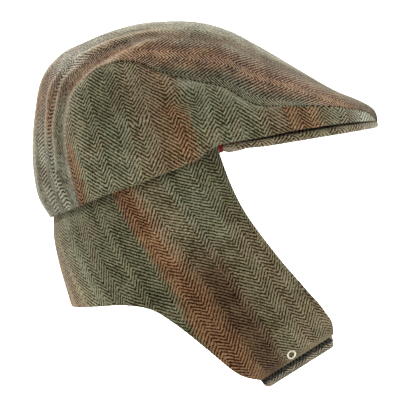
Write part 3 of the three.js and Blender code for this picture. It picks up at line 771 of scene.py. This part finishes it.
def herringbone(g, u, v, place, first_column, wale, slope, dark_wider):
    """How light the weave is, from 0 to 1. Its lines climb and fall by turns, and none is quite straight."""
    sway = g.rescale(g.noise(place, 0.03, 1.0), 0.0, 1.0, -1.1, 1.1)
    from_first = g.math("SUBTRACT", g.math("ADD", u, sway), first_column)
    share = g.math("DIVIDE", g.math("FLOORED_MODULO", from_first, REPEAT), REPEAT)
    edges = np.cumsum((0.0,) + COLUMNS) / REPEAT
    turns = np.array(COLUMNS) * np.array([1, -1] * (len(COLUMNS) // 2))
    heights = np.r_[0.0, np.cumsum(turns)]
    top = heights.max()
    stops = [(float(at), (height / top,) * 3 + (1.0,)) for at, height in zip(edges, heights)]
    zig = g.ramp(share, stops)
    steps = [(float(at), (1 - k % 2,) * 3 + (1.0,)) for k, at in enumerate(edges[:-1])]
    rising = g.ramp(share, steps, "CONSTANT")
    climb = g.math("MULTIPLY_ADD", zig, float(top) * slope, v)
    drift = g.rescale(g.noise(place, 0.11, 2.0), 0.0, 1.0, -0.8, 0.8)
    jitter = g.rescale(g.noise(place, 0.5, 3.0, 0.7), 0.25, 0.75, -0.45, 0.45)
    climb = g.math("ADD", g.math("ADD", climb, drift), jitter)
    wave = g.math("SINE", g.math("MULTIPLY", climb, 2 * math.pi / wale))
    yarn = g.noise(place, 0.55, 4.0, 0.85)
    uneven = g.rescale(yarn, 0.34, 0.66, -1.3, 1.3)
    drawn_out = g.combine(g.math("MULTIPLY", u, 1.4), v, 21.0)
    thick = g.rescale(g.noise(drawn_out, 0.06, 3.0, 0.7), 0.35, 0.65, -0.35, 0.4)
    thick = g.math("SUBTRACT", thick, g.math("MULTIPLY", rising, 0.25))
    total = g.math("ADD", g.math("ADD", wave, uneven), thick)
    return g.rescale(total, dark_wider - 0.6, dark_wider + 0.5)


def band_colours(g, u, v, place, bands, others, mottles):
    """Broad bands of colour, with blurred and wandering edges, and patches here and there."""
    low, high = bands[0][0], bands[-1][0]
    wander = g.noise(g.combine(g.math("MULTIPLY", u, 0.05), g.math("MULTIPLY", v, 0.016)), 1.0, 3.0, 0.6)
    fray = g.rescale(g.noise(place, 0.2, 4.0, 0.8), 0.3, 0.7, -3.6, 3.6)
    blur = g.math("ADD", g.rescale(wander, 0.2, 0.8, -4.5, 4.5), fray)
    span = g.rescale(g.math("ADD", u, blur), low, high)

    def banded(rows):
        return g.ramp(span, [((at - low) / (high - low), shade) for at, shade in rows])

    light = banded(bands)
    for other_bands, first, last in others:
        other = banded(other_bands)
        light = g.mix(g.rescale(v, first, last), light, other)
    for patch, seed, start, most in mottles:
        spread = g.noise(g.combine(g.math("MULTIPLY", u, 1.6), v, seed), 0.036, 3.0, 0.6)
        light = g.mix(g.rescale(spread, start, start + 0.14, 0.0, most), light, patch)
    light = g.times(light, g.rescale(g.noise(place, 0.07, 4.0, 0.65), 0.25, 0.75, 0.78, 1.16))
    warmth = g.rescale(g.noise(g.combine(u, v, 40.0), 0.09, 3.0, 0.6), 0.42, 0.72)
    return g.mix(g.math("MULTIPLY", warmth, 0.25), light, WARM)


def flecked(g, u, v, place, light):
    """Flecks of other colours, drawn out along the yarn, and its fine grain."""
    flecks = g.noise(g.combine(g.math("MULTIPLY", u, 1.6), g.math("MULTIPLY", v, 0.6), 7.0), 1.0, 3.0, 0.7)
    light = g.mix(g.rescale(flecks, 0.6, 0.74, 0.0, 0.75), light, RED_FLECK)
    light = g.mix(g.rescale(flecks, 0.36, 0.24, 0.0, 0.6), light, PALE_FLECK)
    return g.times(light, g.rescale(g.noise(place, 0.7, 4.0, 0.85), 0.36, 0.64, 0.55, 1.45))


def tweed(name, bands, others=(), plain=None, mottles=(), sheen=0.2, first_column=0.0, wale=WALE,
          slope=SLOPE, highlit_to=PAINTED_HIGHLIGHT, dark_wider=0.0, dark_gain=DARK_GAIN):
    """Herringbone tweed. The bands are the light threads' colours across the cloth, and each of the others
    is a list of bands that takes over between two heights. The lines fade between the two heights of plain.
    Each of the mottles takes over here and there: a colour, a seed, where it starts and its most."""
    g = Graph(name)
    uv_map = g.add("ShaderNodeUVMap", uv_map="cloth")
    parts = g.add("ShaderNodeSeparateXYZ")
    g.links.new(uv_map.outputs[0], parts.inputs[0])
    u = g.math("MULTIPLY", parts.outputs["X"], UV_SIZE)
    v = g.math("MULTIPLY", parts.outputs["Y"], UV_SIZE)
    place = g.combine(u, v)

    lit = herringbone(g, u, v, place, first_column, wale, slope, dark_wider)
    # The point attribute of painted light: above 0 a painted highlight lightens the weave and its colour,
    # below 0 painted shade darkens them
    painted_light = g.add("ShaderNodeAttribute", attribute_name="painted_light").outputs["Fac"]
    patchy = g.rescale(g.noise(place, 0.35, 3.0, 0.7), 0.3, 0.6, 0.5, 1.0)
    highlit = g.math("MULTIPLY", g.rescale(painted_light, 0.0, 1.0), patchy)
    lit = g.math("MULTIPLY_ADD", g.math("SUBTRACT", 1.0, lit), g.math("MULTIPLY", highlit, 0.75), lit)
    if plain:
        woven = g.rescale(v, plain[0], plain[1])
        depth = g.math("MULTIPLY_ADD", woven, 0.7, 0.3)
        lit = g.math("MULTIPLY_ADD", g.math("SUBTRACT", lit, 0.5), depth, 0.5)

    light = flecked(g, u, v, place, band_colours(g, u, v, place, bands, others, mottles))
    light = g.mix(g.math("MULTIPLY", highlit, 0.75), light, highlit_to)
    dark = g.mix(1.0, g.mix(1.0, light, light, "MULTIPLY"), dark_gain, "MULTIPLY")
    # Painted shade: the colour falls to 0.08 of itself where the attribute is -1
    painted_shade = g.rescale(painted_light, -1.0, 0.0, 0.08, 1.0)
    shade = g.times(g.mix(lit, dark, light), painted_shade)
    fuzz = g.noise(place, 2.4, 3.0, 0.7)
    height = g.math("ADD", g.math("MULTIPLY", lit, 0.8), g.math("MULTIPLY", fuzz, 0.9))
    return g.shade(
        height=height, distance=0.0005, strength=0.8,
        Base_Color=shade, Roughness=0.95, Specular_IOR_Level=0.1,
        Sheen_Weight=sheen, Sheen_Roughness=0.3, Sheen_Tint=SHEEN_TINT,
    )


def satin():
    g = Graph("lining_satin")
    where = g.object_place()
    slub = g.noise(where, 900.0, 2.0)
    cloud = g.noise(where, 40.0, 2.0)
    shade = g.mix(cloud, colour(96, 2, 8), colour(124, 4, 12))
    return g.shade(height=slub, distance=0.0001, strength=0.4, Base_Color=shade,
                   Roughness=0.6, Specular_IOR_Level=0.2)


def metal():
    g = Graph("snap_nickel")
    where = g.object_place()
    wear = g.noise(where, 700.0, 3.0, 0.6)
    rough = g.rescale(wear, 0.3, 0.7, 0.16, 0.34)
    shade = g.mix(wear, colour(200, 194, 176), colour(176, 168, 146))
    return g.shade(height=wear, distance=0.00002, strength=0.3,
                   Base_Color=shade, Metallic=1.0, Roughness=rough)


def backdrop_paint():
    g = Graph("studio_paper")
    where = g.object_place()
    grain = g.noise(where, 30.0, 2.0)
    shade = g.mix(grain, (0.93, 0.93, 0.93, 1.0), (0.95, 0.95, 0.95, 1.0))
    return g.shade(Base_Color=shade, Roughness=0.9, Specular_IOR_Level=0.1)


def both_ways(*half):
    """Bands that are the same on both sides of a panel's middle, given from its middle out."""
    return [(-at, shade) for at, shade in half[::-1] if at > 0] + list(half)


# The pale strip along the centre panel's middle, in this list and the three below, is a painted highlight
# for the pale rim along the crown's top. The other bands are the cloth's colours.
TOP_BANDS = both_ways(
    (0, PALE), (28, PALE), (38, SAGE), (46, OLIVE), (54, UMBER), (64, BROWN), (72, DEEP_RUST), (88, RUST),
    (93, DARK_GREEN), (110, DARK_GREEN),
)
TOP_BACK_BANDS = both_ways(
    (0, PALE), (50, PALE), (58, FADED), (65, RUST), (74, DEEP_RUST), (78, GREEN), (110, GREEN)
)
TOP_LOW_BANDS = both_ways(
    (0, PALE), (22, OLIVE), (29, RUSSET), (40, UMBER), (47, RUSSET), (60, RUST), (65, SAGE), (110, GREEN)
)
TOP_HEM_BANDS = both_ways(
    (0, PALE), (26, PALE_GREEN), (35, SAGE), (41, PALE_GREEN), (110, PALE_GREEN)
)
SIDE_BANDS = [
    (-84, RUSSET), (-75, RUSSET), (-70, GREEN), (-26, GREEN), (-21, OLIVE), (-4, BROWN), (3, RUST),
    (14, DEEP_RUST), (23, RUST), (29, GREEN), (60, GREEN), (76, SAGE), (80, BROWN), (95, BROWN),
    (99, DEEP_RUST), (122, RUST), (126, OLIVE), (136, SAGE), (170, PALE),
]
SIDE_HIGH_BANDS = [
    (-84, RUST), (-63, GREEN), (-46, DARK_GREEN), (-22, DARK_GREEN), (-17, OLIVE), (-3, BROWN), (4, BROWN),
    (10, RUST), (19, BROWN), (25, SAGE), (66, SAGE), (90, OLIVE), (170, SAGE),
]
FLAP_BANDS = [
    (-180, RUST), (-142, TAN), (-134, OLIVE), (-114, GREEN), (-106, DARK_GREEN), (-54, DARK_GREEN),
    (-48, RUSSET), (-38, DEEP_RUST), (-31, BROWN), (-24, OLIVE), (-12, OLIVE), (-8, GREEN), (11, GREEN),
    (17, DARK_GREEN), (46, DARK_GREEN),
]
FLAP_LOW_BANDS = [
    (-180, TAN), (-54, DARK_GREEN), (-47, RUSSET), (-35, RUSSET), (-22, UMBER), (-9, UMBER), (-1, OLIVE),
    (12, OLIVE), (24, TAN), (34, OLIVE), (46, TAN),
]
STRAP_BANDS = [(-180, DIM), (46, DIM)]
# The pale middle of the peak is a painted highlight on its front. The other bands are the cloth's colours.
PEAK_BANDS = both_ways((0, PALE), (50, FADED), (90, OLIVE), (140, FADED))

tweed_top = tweed(
    "tweed_top", TOP_BANDS,
    [(TOP_BACK_BANDS, -35, -60), (TOP_LOW_BANDS, -85, -105), (TOP_HEM_BANDS, -126, -150)],
    mottles=[(SAGE, 90.0, 0.56, 0.5), (UMBER, 130.0, 0.52, 0.5)], sheen=0.34,
    first_column=-3.8, wale=2.95, slope=1.0, dark_wider=0.26, dark_gain=TOP_DARK_GAIN)
tweed_side = tweed(
    "tweed_side", SIDE_BANDS, [(SIDE_HIGH_BANDS, 44, 54)], first_column=-3.6, highlit_to=PALE_GREEN,
    mottles=[(OLIVE, 60.0, 0.46, 0.5), (BROWN, 15.0, 0.56, 0.55)])
tweed_flap = tweed("tweed_flap", FLAP_BANDS, [(FLAP_LOW_BANDS, -45, -85)], (-178, -174),
                   first_column=-26.0, wale=3.3, slope=1.0)
# A shaded copy of the flap's tweed for the left flap, with darker dark threads and less sheen: painted shade
# for the strap that turns away under the chin
tweed_strap_shaded = tweed(
    "tweed_strap_shaded", FLAP_BANDS, [(FLAP_LOW_BANDS, -45, -85), (STRAP_BANDS, -196, -200)], sheen=0.05,
    dark_wider=0.15, dark_gain=STRAP_SHADED_DARK_GAIN, first_column=-26.0, wale=3.3, slope=1.0)
tweed_peak = tweed("tweed_peak", PEAK_BANDS, wale=3.1, slope=1.0)
satin_red = satin()
nickel = metal()


def finish_piece(piece, slot, *nodes):
    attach(piece, "root")
    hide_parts(*nodes)


def mirror(grid):
    return grid * np.array([1, -1, 1])


# The crown

TOP_ROWS = 150
TOP_HALF_COLUMNS = 52
SIDE_ROWS = 130
SIDE_COLUMNS = 56
HEM_ROLL = 4.6  # how far over the hem its stitched groove runs
HEM_STAND = 0.9  # how far the hem stands out from the flaps
HEM_GROOVE = 0.8
HEM_GROOVE_WIDTH = 0.9
# The cloth's soft unevenness: how high and long its waves are, and the seed that they are drawn from
TOP_RIPPLES = (0.55, 42, 3)
SIDE_RIPPLES = (0.5, 34, 8)
HEM_PUCKERS = (0.6, 9, 21)
TOP_ZERO_ROW = 84  # the row where the weave's length along the centre panel is counted from
TOP_EASE = 12  # the columns run straight over creases shorter than this many rows
TOP_LEAN = 0.3  # how far the top's columns turn towards its middle, past this distance to the front
TOP_LEAN_FROM = 25.0
TOP_LEAN_EASE = 30.0
TOP_LEAN_ACROSS = 45.0


def top_panel():
    places = np.linspace(0, 1, TOP_ROWS)
    shares = np.linspace(0, 1, TOP_HALF_COLUMNS)
    half = top_half(places, shares)
    whole = np.concatenate([mirror(half)[:, ::-1], half[:, 1:]], axis=1)
    out = ways(whole, crown_middle(whole))
    edge = np.abs(np.linspace(-1, 1, whole.shape[1]))[None, :]
    free = smooth((1 - edge) * 8) * middle_of(places, 12)[:, None]
    whole = whole + out * (ripples(whole, *TOP_RIPPLES) * free)[..., None]
    out = ways(whole, crown_middle(whole))
    along = lengths(whole, 0)
    along = along - along[TOP_ZERO_ROW]
    over = lengths(whole, 1)
    over = over - over[:, [whole.shape[1] // 2]]
    padded = np.pad(over, ((TOP_EASE, TOP_EASE), (0, 0)), mode="edge")
    over = sum(padded[k:k + TOP_ROWS] for k in range(2 * TOP_EASE + 1)) / (2 * TOP_EASE + 1)
    ahead = np.maximum(along - TOP_LEAN_FROM, 0)
    lean = TOP_LEAN * ahead ** 2 / (ahead + TOP_LEAN_EASE)
    over = over + np.sign(over) * lean * smooth(np.abs(over) / TOP_LEAN_ACROSS)
    uvs = np.stack([over, along], -1)
    painted_light = top_painted_light(places[:, None], edge)
    return cloth_piece("crown_top", whole, out, uvs, CLOTH, tweed_top, painted_light=painted_light)


SIDE_LEAN = math.radians(17)
SIDE_BULGE = 0.25  # how much of a place's distance inwards counts as height in the weave
SWIRL_AT = (20.0, 52.0)
SWIRL_TURN = math.radians(26)
SWIRL_SIZE = 12.0
PUCKER_AT = (2.0, 42.0)  # the cloth is gathered along a short level line here
PUCKER_REACH = (22.0, 30.0)
PUCKER_LEAN = 0.2
BROW_LIFT = 1.1  # how much higher the side panels' front edge is than the CAD's
# A painted highlight along the soft fold beneath the top seam: its line, its width and its strength
PALE_FOLD = table("at high", (18, 63), (36, 61), (50, 57), (58, 48), (66, 37), (80, 30), (100, 22))
PALE_FOLD_WIDTH = 4.5
FOLD_PALE = 0.7


def gathered(u, v):
    """The cloth's places turned about the pucker in the middle of a side panel."""
    from_u, from_v = u - PUCKER_AT[0], v - PUCKER_AT[1]
    near = bell(from_u, PUCKER_REACH[0]) * bell(from_v, PUCKER_REACH[1])
    v = v + PUCKER_LEAN * from_u * near * mix(-0.7, 1.0, smooth((from_v + 4) / 8))
    from_u, from_v = u - SWIRL_AT[0], v - SWIRL_AT[1]
    turn = SWIRL_TURN * np.exp(-(from_u ** 2 + from_v ** 2) / SWIRL_SIZE ** 2)
    cos, sin = np.cos(turn), np.sin(turn)
    return SWIRL_AT[0] + from_u * cos - from_v * sin, SWIRL_AT[1] + from_u * sin + from_v * cos


def fold_painted_light(u, v):
    """How near the fold beneath the seam each place is, for the painted highlight along it."""
    ends = smooth((u - PALE_FOLD["at"][0]) / 14) * smooth((PALE_FOLD["at"][-1] - u) / 14)
    return ends * bell(v - np.interp(u, PALE_FOLD["at"], PALE_FOLD["high"]), PALE_FOLD_WIDTH)


def side_panel(name, flip):
    places = np.linspace(SEAM_CORNER, 1, SIDE_ROWS)
    shares = np.linspace(0, 1, SIDE_COLUMNS)
    grid = side_half(places, shares)
    out = ways(grid, crown_middle(grid))
    free = middle_of(shares, 5)[None] * smooth((places - SEAM_CORNER) / SIDE_FREE)[:, None]
    grid = grid + out * (ripples(grid, *SIDE_RIPPLES) * free)[..., None]
    depth = lengths(grid, 1)
    hem_far = depth[:, [-1]] - depth
    groove = -HEM_GROOVE * bell(hem_far - HEM_ROLL, HEM_GROOVE_WIDTH) * smooth(depth / 8)
    low = smooth(1 - hem_far / 7) * smooth((20 - grid[..., 0]) / 25)
    groove = groove + (HEM_STAND + ripples(grid, *HEM_PUCKERS)) * low
    grid = grid + out * groove[..., None]
    out = ways(grid, crown_middle(grid))
    x, z = grid[..., 0], grid[..., 2]
    bulge = (HEM_SIDE + grid[..., 1]) * SIDE_BULGE
    hem_steps = np.linalg.norm(np.diff(grid[:, -1, :2], axis=0), axis=-1)
    turned_in = np.r_[0, np.cumsum(hem_steps)] - grid[:, -1, 0]
    turned_in = turned_in - np.interp(0, grid[:, -1, 0], turned_in)
    u = (x + turned_in[:, None]) * math.cos(SIDE_LEAN) + z * math.sin(SIDE_LEAN)
    v = z * math.cos(SIDE_LEAN) - x * math.sin(SIDE_LEAN) + bulge
    uvs = np.stack(gathered(u, v), -1)
    painted_light = FOLD_PALE * fold_painted_light(u, v)
    grid[..., 2] += BROW_LIFT * smooth((x - 60) / 40) * smooth((158 - x) / 30) * smooth(1 - hem_far / 14)
    if flip:
        grid, out = mirror(grid), mirror(out)
    return cloth_piece(name, grid, out, uvs, CLOTH, tweed_side, painted_light=painted_light)


finish_piece(top_panel(), "tweed_crown", "crown_top_panel")
finish_piece(side_panel("crown_side_r", False), "tweed_crown", "crown_side_right")
finish_piece(side_panel("crown_side_l", True), "tweed_crown", "crown_side_left")

# The peak

PEAK_ACROSS = 120
PEAK_OUT = 26
PEAK_NOSE = 12
PEAK_ROOT_LIFT = 0.9  # how much fuller the peak's roots are than the CAD's
PEAK_ROOT_LIFT_TO = 66.0
PEAK_ROOT_TAPER = 0.3  # how much of its thickness is left at the very root, where the lining shows below it
PEAK_ROOT_TAPER_LENGTH = 9.0


def peak_rings():
    turn = np.linspace(-math.pi / 2, math.pi / 2, PEAK_ACROSS + 1)
    cos = np.clip(np.cos(turn), 0, 1)
    sin = np.sin(turn)
    rim_x = mix(PEAK_ROOT_X, PEAK_TIP_X, cos ** (2 / PEAK_POWER))
    rim_y = PEAK_HALF * np.sign(sin) * np.abs(sin) ** (2 / PEAK_POWER)
    brow_turn = math.acos(PEAK_ROOT_X / BROW_X) * (turn / (math.pi / 2))
    brow_x, brow_y = BROW_X * np.cos(brow_turn), BROW_HALF * np.sin(brow_turn)
    brow = xyz(brow_x, brow_y, band_height(brow_x, brow_y))
    rim = xyz(rim_x, rim_y, peak_rim_top(rim_x))
    out = rim - brow
    reach = np.linalg.norm(out, axis=-1)[:, None, None]
    way = unit(out)
    up = unit(Z - way * way[:, 2:])
    thick = mix(PEAK_ROOT_THICK, PEAK_THICK, smooth((rim_x - PEAK_ROOT_X) / 40))
    thick = thick * mix(PEAK_ROOT_TAPER, 1, smooth((rim_x - PEAK_ROOT_X) / PEAK_ROOT_TAPER_LENGTH))
    thick = thick[:, None, None]
    half = thick / 2
    shares = np.linspace(0, 1, PEAK_OUT)[None, :, None]
    nose = np.linspace(math.pi / 2, -math.pi / 2, PEAK_NOSE + 2)[None, 1:-1, None]
    way, up, brow = way[:, None], up[:, None], brow[:, None]
    hump = 4 * shares * (1 - shares) * PEAK_HUMP * np.clip(reach / 60, 0, 1)
    closing = PEAK_ROOT_LIFT * smooth((PEAK_ROOT_LIFT_TO - rim_x) / 12)[:, None, None] * smooth(shares * 4)
    top = brow + way * (reach - half) * shares + up * (hump + closing)
    tip = brow + way * (reach - half) - up * half + way * half * np.cos(nose) + up * half * np.sin(nose)
    under = (top - up * (thick + closing))[:, ::-1]
    rings = np.concatenate([top, tip, under], axis=1)
    around = lengths(rings, 1) - (reach * 0.97)[..., 0]
    middle = rings[:, PEAK_OUT + PEAK_NOSE // 2]
    along = np.r_[0, np.cumsum(np.linalg.norm(np.diff(middle, axis=0), axis=-1))]
    along = along - along[len(along) // 2]
    uvs = np.stack([np.broadcast_to(along[:, None], around.shape), around], -1)
    return rings, uvs


rings, peak_uvs = peak_rings()
finish_piece(closed_loft("peak_cloth", rings, peak_uvs, tweed_peak), "tweed_peak", "peak")

# The flaps

FLAP_FAN = table(
    "at lean", (-130, 0.12), (-70, 0.05), (-55, 0.03), (-40, -0.017), (-27, -0.03), (-15, -0.017),
    (0, 0.0), (45, 0.05)
)
FAN_MIDDLE = 60.0
ROLL_FROM = 196.0  # past here the strap rolls under the chin and its weave opens
ROLL_STRETCH = 0.45
FLAP_SHEAR = 0.11  # how far the threads lean across the upper flap
STRAP_SHADOW = 0.95  # how dark the left flap is where it goes in behind the right flap's end
STRAP_SHADOW_FROM = 252.5
STRAP_SHADOW_OVER = 5.0
HEM_SHADOW = 0.65  # how dark the flaps are along the hem
HEM_SHADOW_AT = 0.6
HEM_SHADOW_SIZE = 1.9
HEM_DRAW = 2.2  # how far the flaps are drawn in just below the hem
HEM_DRAW_SIZE = 3.0
FLAP_RIPPLES = (0.5, 46, 5)
SHADOW_PATCHES = (0.3, 12, 44)


def flap_uvs(p, z):
    across = p * COS + z * SIN
    down = p * SIN - z * COS
    lean = np.interp(across, FLAP_FAN["at"], FLAP_FAN["lean"])
    u = across + (np.minimum(down, 190) - FAN_MIDDLE) * lean
    down = np.minimum(down, ROLL_FROM) + ROLL_STRETCH * np.maximum(down - ROLL_FROM, 0)
    return np.stack([u, FLAP_SHEAR * (u + 40) * smooth(1 - down / 90) - down], -1)


def flap_piece(name, end, step, flip, material):
    p, z = flap_flat(end)
    grid = flap_points(p, z, step)
    out = ways(grid, flap_inside(grid))
    rows = np.arange(len(grid))[:, None]
    columns_in = np.linspace(0, 1, grid.shape[1])[None]
    free = middle_of(rows / FLAP_DOWN, 7) * smooth(columns_in * 5)
    rise = fold_rise(FLAP_FOLDS, grid[..., 0], grid[..., 2]) * free
    rise = rise + ripples(grid, *FLAP_RIPPLES) * free * smooth((1 - columns_in) * 6)
    below_hem = z - np.minimum(grid[..., 0], 40) * math.tan(TILT)
    rise = rise - HEM_DRAW * bell(below_hem + 1, HEM_DRAW_SIZE) * middle_of(columns_in, 5)
    patchy = 0.75 + ripples(grid, *SHADOW_PATCHES)
    shadow = -HEM_SHADOW * patchy * bell(below_hem - HEM_SHADOW_AT, HEM_SHADOW_SIZE)
    shadow = shadow * mix(1, 0.3, smooth(grid[..., 0] / 50))
    down = p * SIN - z * COS
    shadow = shadow - STRAP_SHADOW * smooth((down - STRAP_SHADOW_FROM) / STRAP_SHADOW_OVER)
    grid = grid + out * rise[..., None]
    out = ways(grid, flap_inside(grid))
    back_rows = round(FLAP_DOWN * CORNER_AT) + 1
    out[:back_rows, 0, 1] = 0
    out = unit(out)
    grid[:back_rows, 0, 1] = -GAP / 2
    uvs = flap_uvs(p, z)
    if flip:
        grid, out = mirror(grid), mirror(out)
    return cloth_piece(name, grid, out, uvs, FLAP, material, rim_steps=7, painted_light=shadow)


right_flap = flap_piece("flap_right", RIGHT_END, 0.0, False, tweed_flap)
finish_piece(right_flap, "tweed_flap", "earflap_right")
left_flap = flap_piece("flap_left", LEFT_END, CHIN_STEP, True, tweed_strap_shaded)
finish_piece(left_flap, "tweed_flap", "earflap_left")

# The lining

LINING_AROUND = 128
LINING_UP = 36


def lining_dome(inset):
    around = np.linspace(0, 2 * math.pi, LINING_AROUND, endpoint=False)[None]
    up = np.linspace(0, math.pi / 2, LINING_UP)[:, None]
    cos, sin = np.cos(around), np.sin(around)
    back_x = -NAPE_TOP - FLAP - 2 * GAP - inset
    front_x = BROW_X - GAP - 0.1 - inset
    rim_x = np.where(cos > 0, front_x * cos, back_x * cos)
    rim_y = (HEM_SIDE - CLOTH - FLAP - 3 * GAP - inset) * sin
    rim_z = rim_x * math.tan(TILT) - LINING_DROP
    rise = np.clip(np.sin(up), 0, 1) ** (2 / LINING_ROUND)
    reach = np.clip(np.cos(up), 0, 1) ** (2 / LINING_ROUND)
    return xyz(mix(LINING_TOP_X, rim_x, reach), rim_y * reach, mix(rim_z, LINING_TOP_Z - inset, rise))


def lining_piece():
    outer, inner = lining_dome(0.0), lining_dome(LINING)
    rings = np.concatenate([outer[::-1], inner])[1:-1]
    top = outer[-1, 0], inner[-1, 0]
    count, around = rings.shape[:2]
    points = np.concatenate([rings.reshape(-1, 3), top])
    first, last = count * around, count * around + 1
    end = (count - 1) * around
    caps = [[first, (k + 1) % around, k] for k in range(around)]
    caps += [[last, end + k, end + (k + 1) % around] for k in range(around)]
    faces = outward(points, grid_faces(count, around, tube=True), caps)
    return add_mesh("lining_dome", points, faces, None, satin_red)


finish_piece(lining_piece(), "lining_cloth", "lining_front_right", "lining_front_left",
             "lining_back_right", "lining_back_left")

# The press stud

SNAP_TIP = math.radians(-12)  # the ring is pulled into the cloth at its upper side
# The bead that forms the ring: its radius, half its width and height, and where its middle stands
BEAD_RADIUS = 3.1
BEAD_WIDE = 0.8
BEAD_HIGH = 0.6
BEAD_RISE = 0.45
BEAD_CLEAR = 0.1
BEAD_STEPS = 16
RING_STEPS = 48


def snap_frame():
    turn = (RIGHT_END - SNAP_BACK - CHIN_AT) / CHIN_RADIUS

    def place(radius):
        down = CHIN_AT + radius * math.sin(turn)
        x, z = strap_place(SNAP_ACROSS, down)
        return np.array([x, -radius * math.cos(turn), z])

    out = unit(place(CHIN_RADIUS) - place(CHIN_RADIUS - 1))
    over = unit(np.cross(out, Z))
    return place, out, over


def turned(name, profile, base, out, over, other, material):
    """A closed ring turned from a profile of (radius, height)."""
    angles = np.linspace(0, 2 * math.pi, RING_STEPS, endpoint=False)
    profile = np.array(profile)
    radial = np.cos(angles)[:, None, None] * over + np.sin(angles)[:, None, None] * other
    points = (base + radial * profile[None, :, :1] + out * profile[None, :, 1:]).reshape(-1, 3)
    faces = outward(points, grid_faces(RING_STEPS, len(profile), tube=True, ring=True))
    return add_mesh(name, points, faces, None, material)


place, out, over = snap_frame()
turns = np.linspace(0, 2 * math.pi, BEAD_STEPS, endpoint=False)
bead = [(BEAD_RADIUS + BEAD_WIDE * math.cos(t), BEAD_RISE + BEAD_HIGH * math.sin(t)) for t in turns]
down_strap = unit(np.cross(over, out))
if down_strap[2] > 0:
    down_strap = -down_strap
facing = out * math.cos(SNAP_TIP) + down_strap * math.sin(SNAP_TIP)
base = place(CHIN_RADIUS) + out * BEAD_CLEAR
ring = turned("snap_ring_bead", bead, base, facing, over, np.cross(facing, over), nickel)
finish_piece(ring, "snap_metal", "snap_ring")
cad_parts["snap_stud"].data.materials.clear()
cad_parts["snap_stud"].data.materials.append(nickel)

# The studio

CAMERA_FAR = 2.0
VIEW_CENTRE = (0.0216, 0.0, -0.0248)
VIEW_RISE = math.radians(1.5)
VIEW_WIDTH = 0.32
SENSOR = 36.0
FLOOR_DROP = 0.09
FLOOR_HALF = 6.0
FLOOR_BACK = 3.0  # where the floor starts to curve up into the wall
FLOOR_BEND = 1.5
WALL_HIGH = 5.0
WORLD_STRENGTH = 0.22
ORIGIN = (0.0, 0.0, 0.0)
# Each light's name, place, target, size in metres and power in watts
LIGHTS = [
    ("front", (-0.3, -1.3, 1.5), ORIGIN, 1.0, 13.4),
    ("back", (-1.5, 0.35, 1.0), ORIGIN, 1.0, 21.0),
    ("brow", (1.5, 0.1, 0.9), ORIGIN, 1.0, 22.0),
    ("top", (-0.35, 0.6, 1.7), ORIGIN, 1.2, 72.0),
    ("paper", (0.0, 1.6, 2.4), (0.0, 4.5, 0.2), 2.0, 330.0),
]


def add_camera():
    data = bpy.data.cameras.new("camera")
    data.sensor_width = SENSOR
    data.lens = SENSOR * CAMERA_FAR / VIEW_WIDTH
    camera = bpy.data.objects.new("camera", data)
    camera.location = (VIEW_CENTRE[0], VIEW_CENTRE[1] - CAMERA_FAR * math.cos(VIEW_RISE),
                       VIEW_CENTRE[2] + CAMERA_FAR * math.sin(VIEW_RISE))
    camera.rotation_euler = (math.pi / 2 - VIEW_RISE, 0, 0)
    bpy.context.scene.collection.objects.link(camera)
    bpy.context.scene.camera = camera


def add_light(name, place, target, size, power):
    data = bpy.data.lights.new(name, "AREA")
    data.shape = "DISK"
    data.size = size
    data.energy = power
    light = bpy.data.objects.new(name, data)
    light.location = place
    light.rotation_euler = (Vector(target) - Vector(place)).to_track_quat("-Z", "Y").to_euler()
    bpy.context.scene.collection.objects.link(light)


def add_floor():
    low = cad_box[0][2] - FLOOR_DROP
    profile = [(-FLOOR_HALF, low), (FLOOR_BACK, low)]
    for turn in np.linspace(0.1, math.pi / 2, 12):
        profile.append((FLOOR_BACK + FLOOR_BEND * math.sin(turn), low + FLOOR_BEND * (1 - math.cos(turn))))
    profile.append((FLOOR_BACK + FLOOR_BEND, low + WALL_HIGH))
    points = np.array([(x, y, z) for x in (-FLOOR_HALF, FLOOR_HALF) for y, z in profile]) / MM
    faces = grid_faces(2, len(profile)).tolist()
    floor = add_mesh("backdrop", points, faces, None, backdrop_paint())


def add_world():
    world = bpy.data.worlds.new("studio")
    world.use_nodes = True
    background = world.node_tree.nodes["Background"]
    background.inputs["Color"].default_value = (1.0, 1.0, 1.0, 1.0)
    background.inputs["Strength"].default_value = WORLD_STRENGTH
    bpy.context.scene.world = world


add_camera()
add_floor()
add_world()
for light_row in LIGHTS:
    add_light(*light_row)
bpy.context.scene.view_settings.view_transform = "Standard"
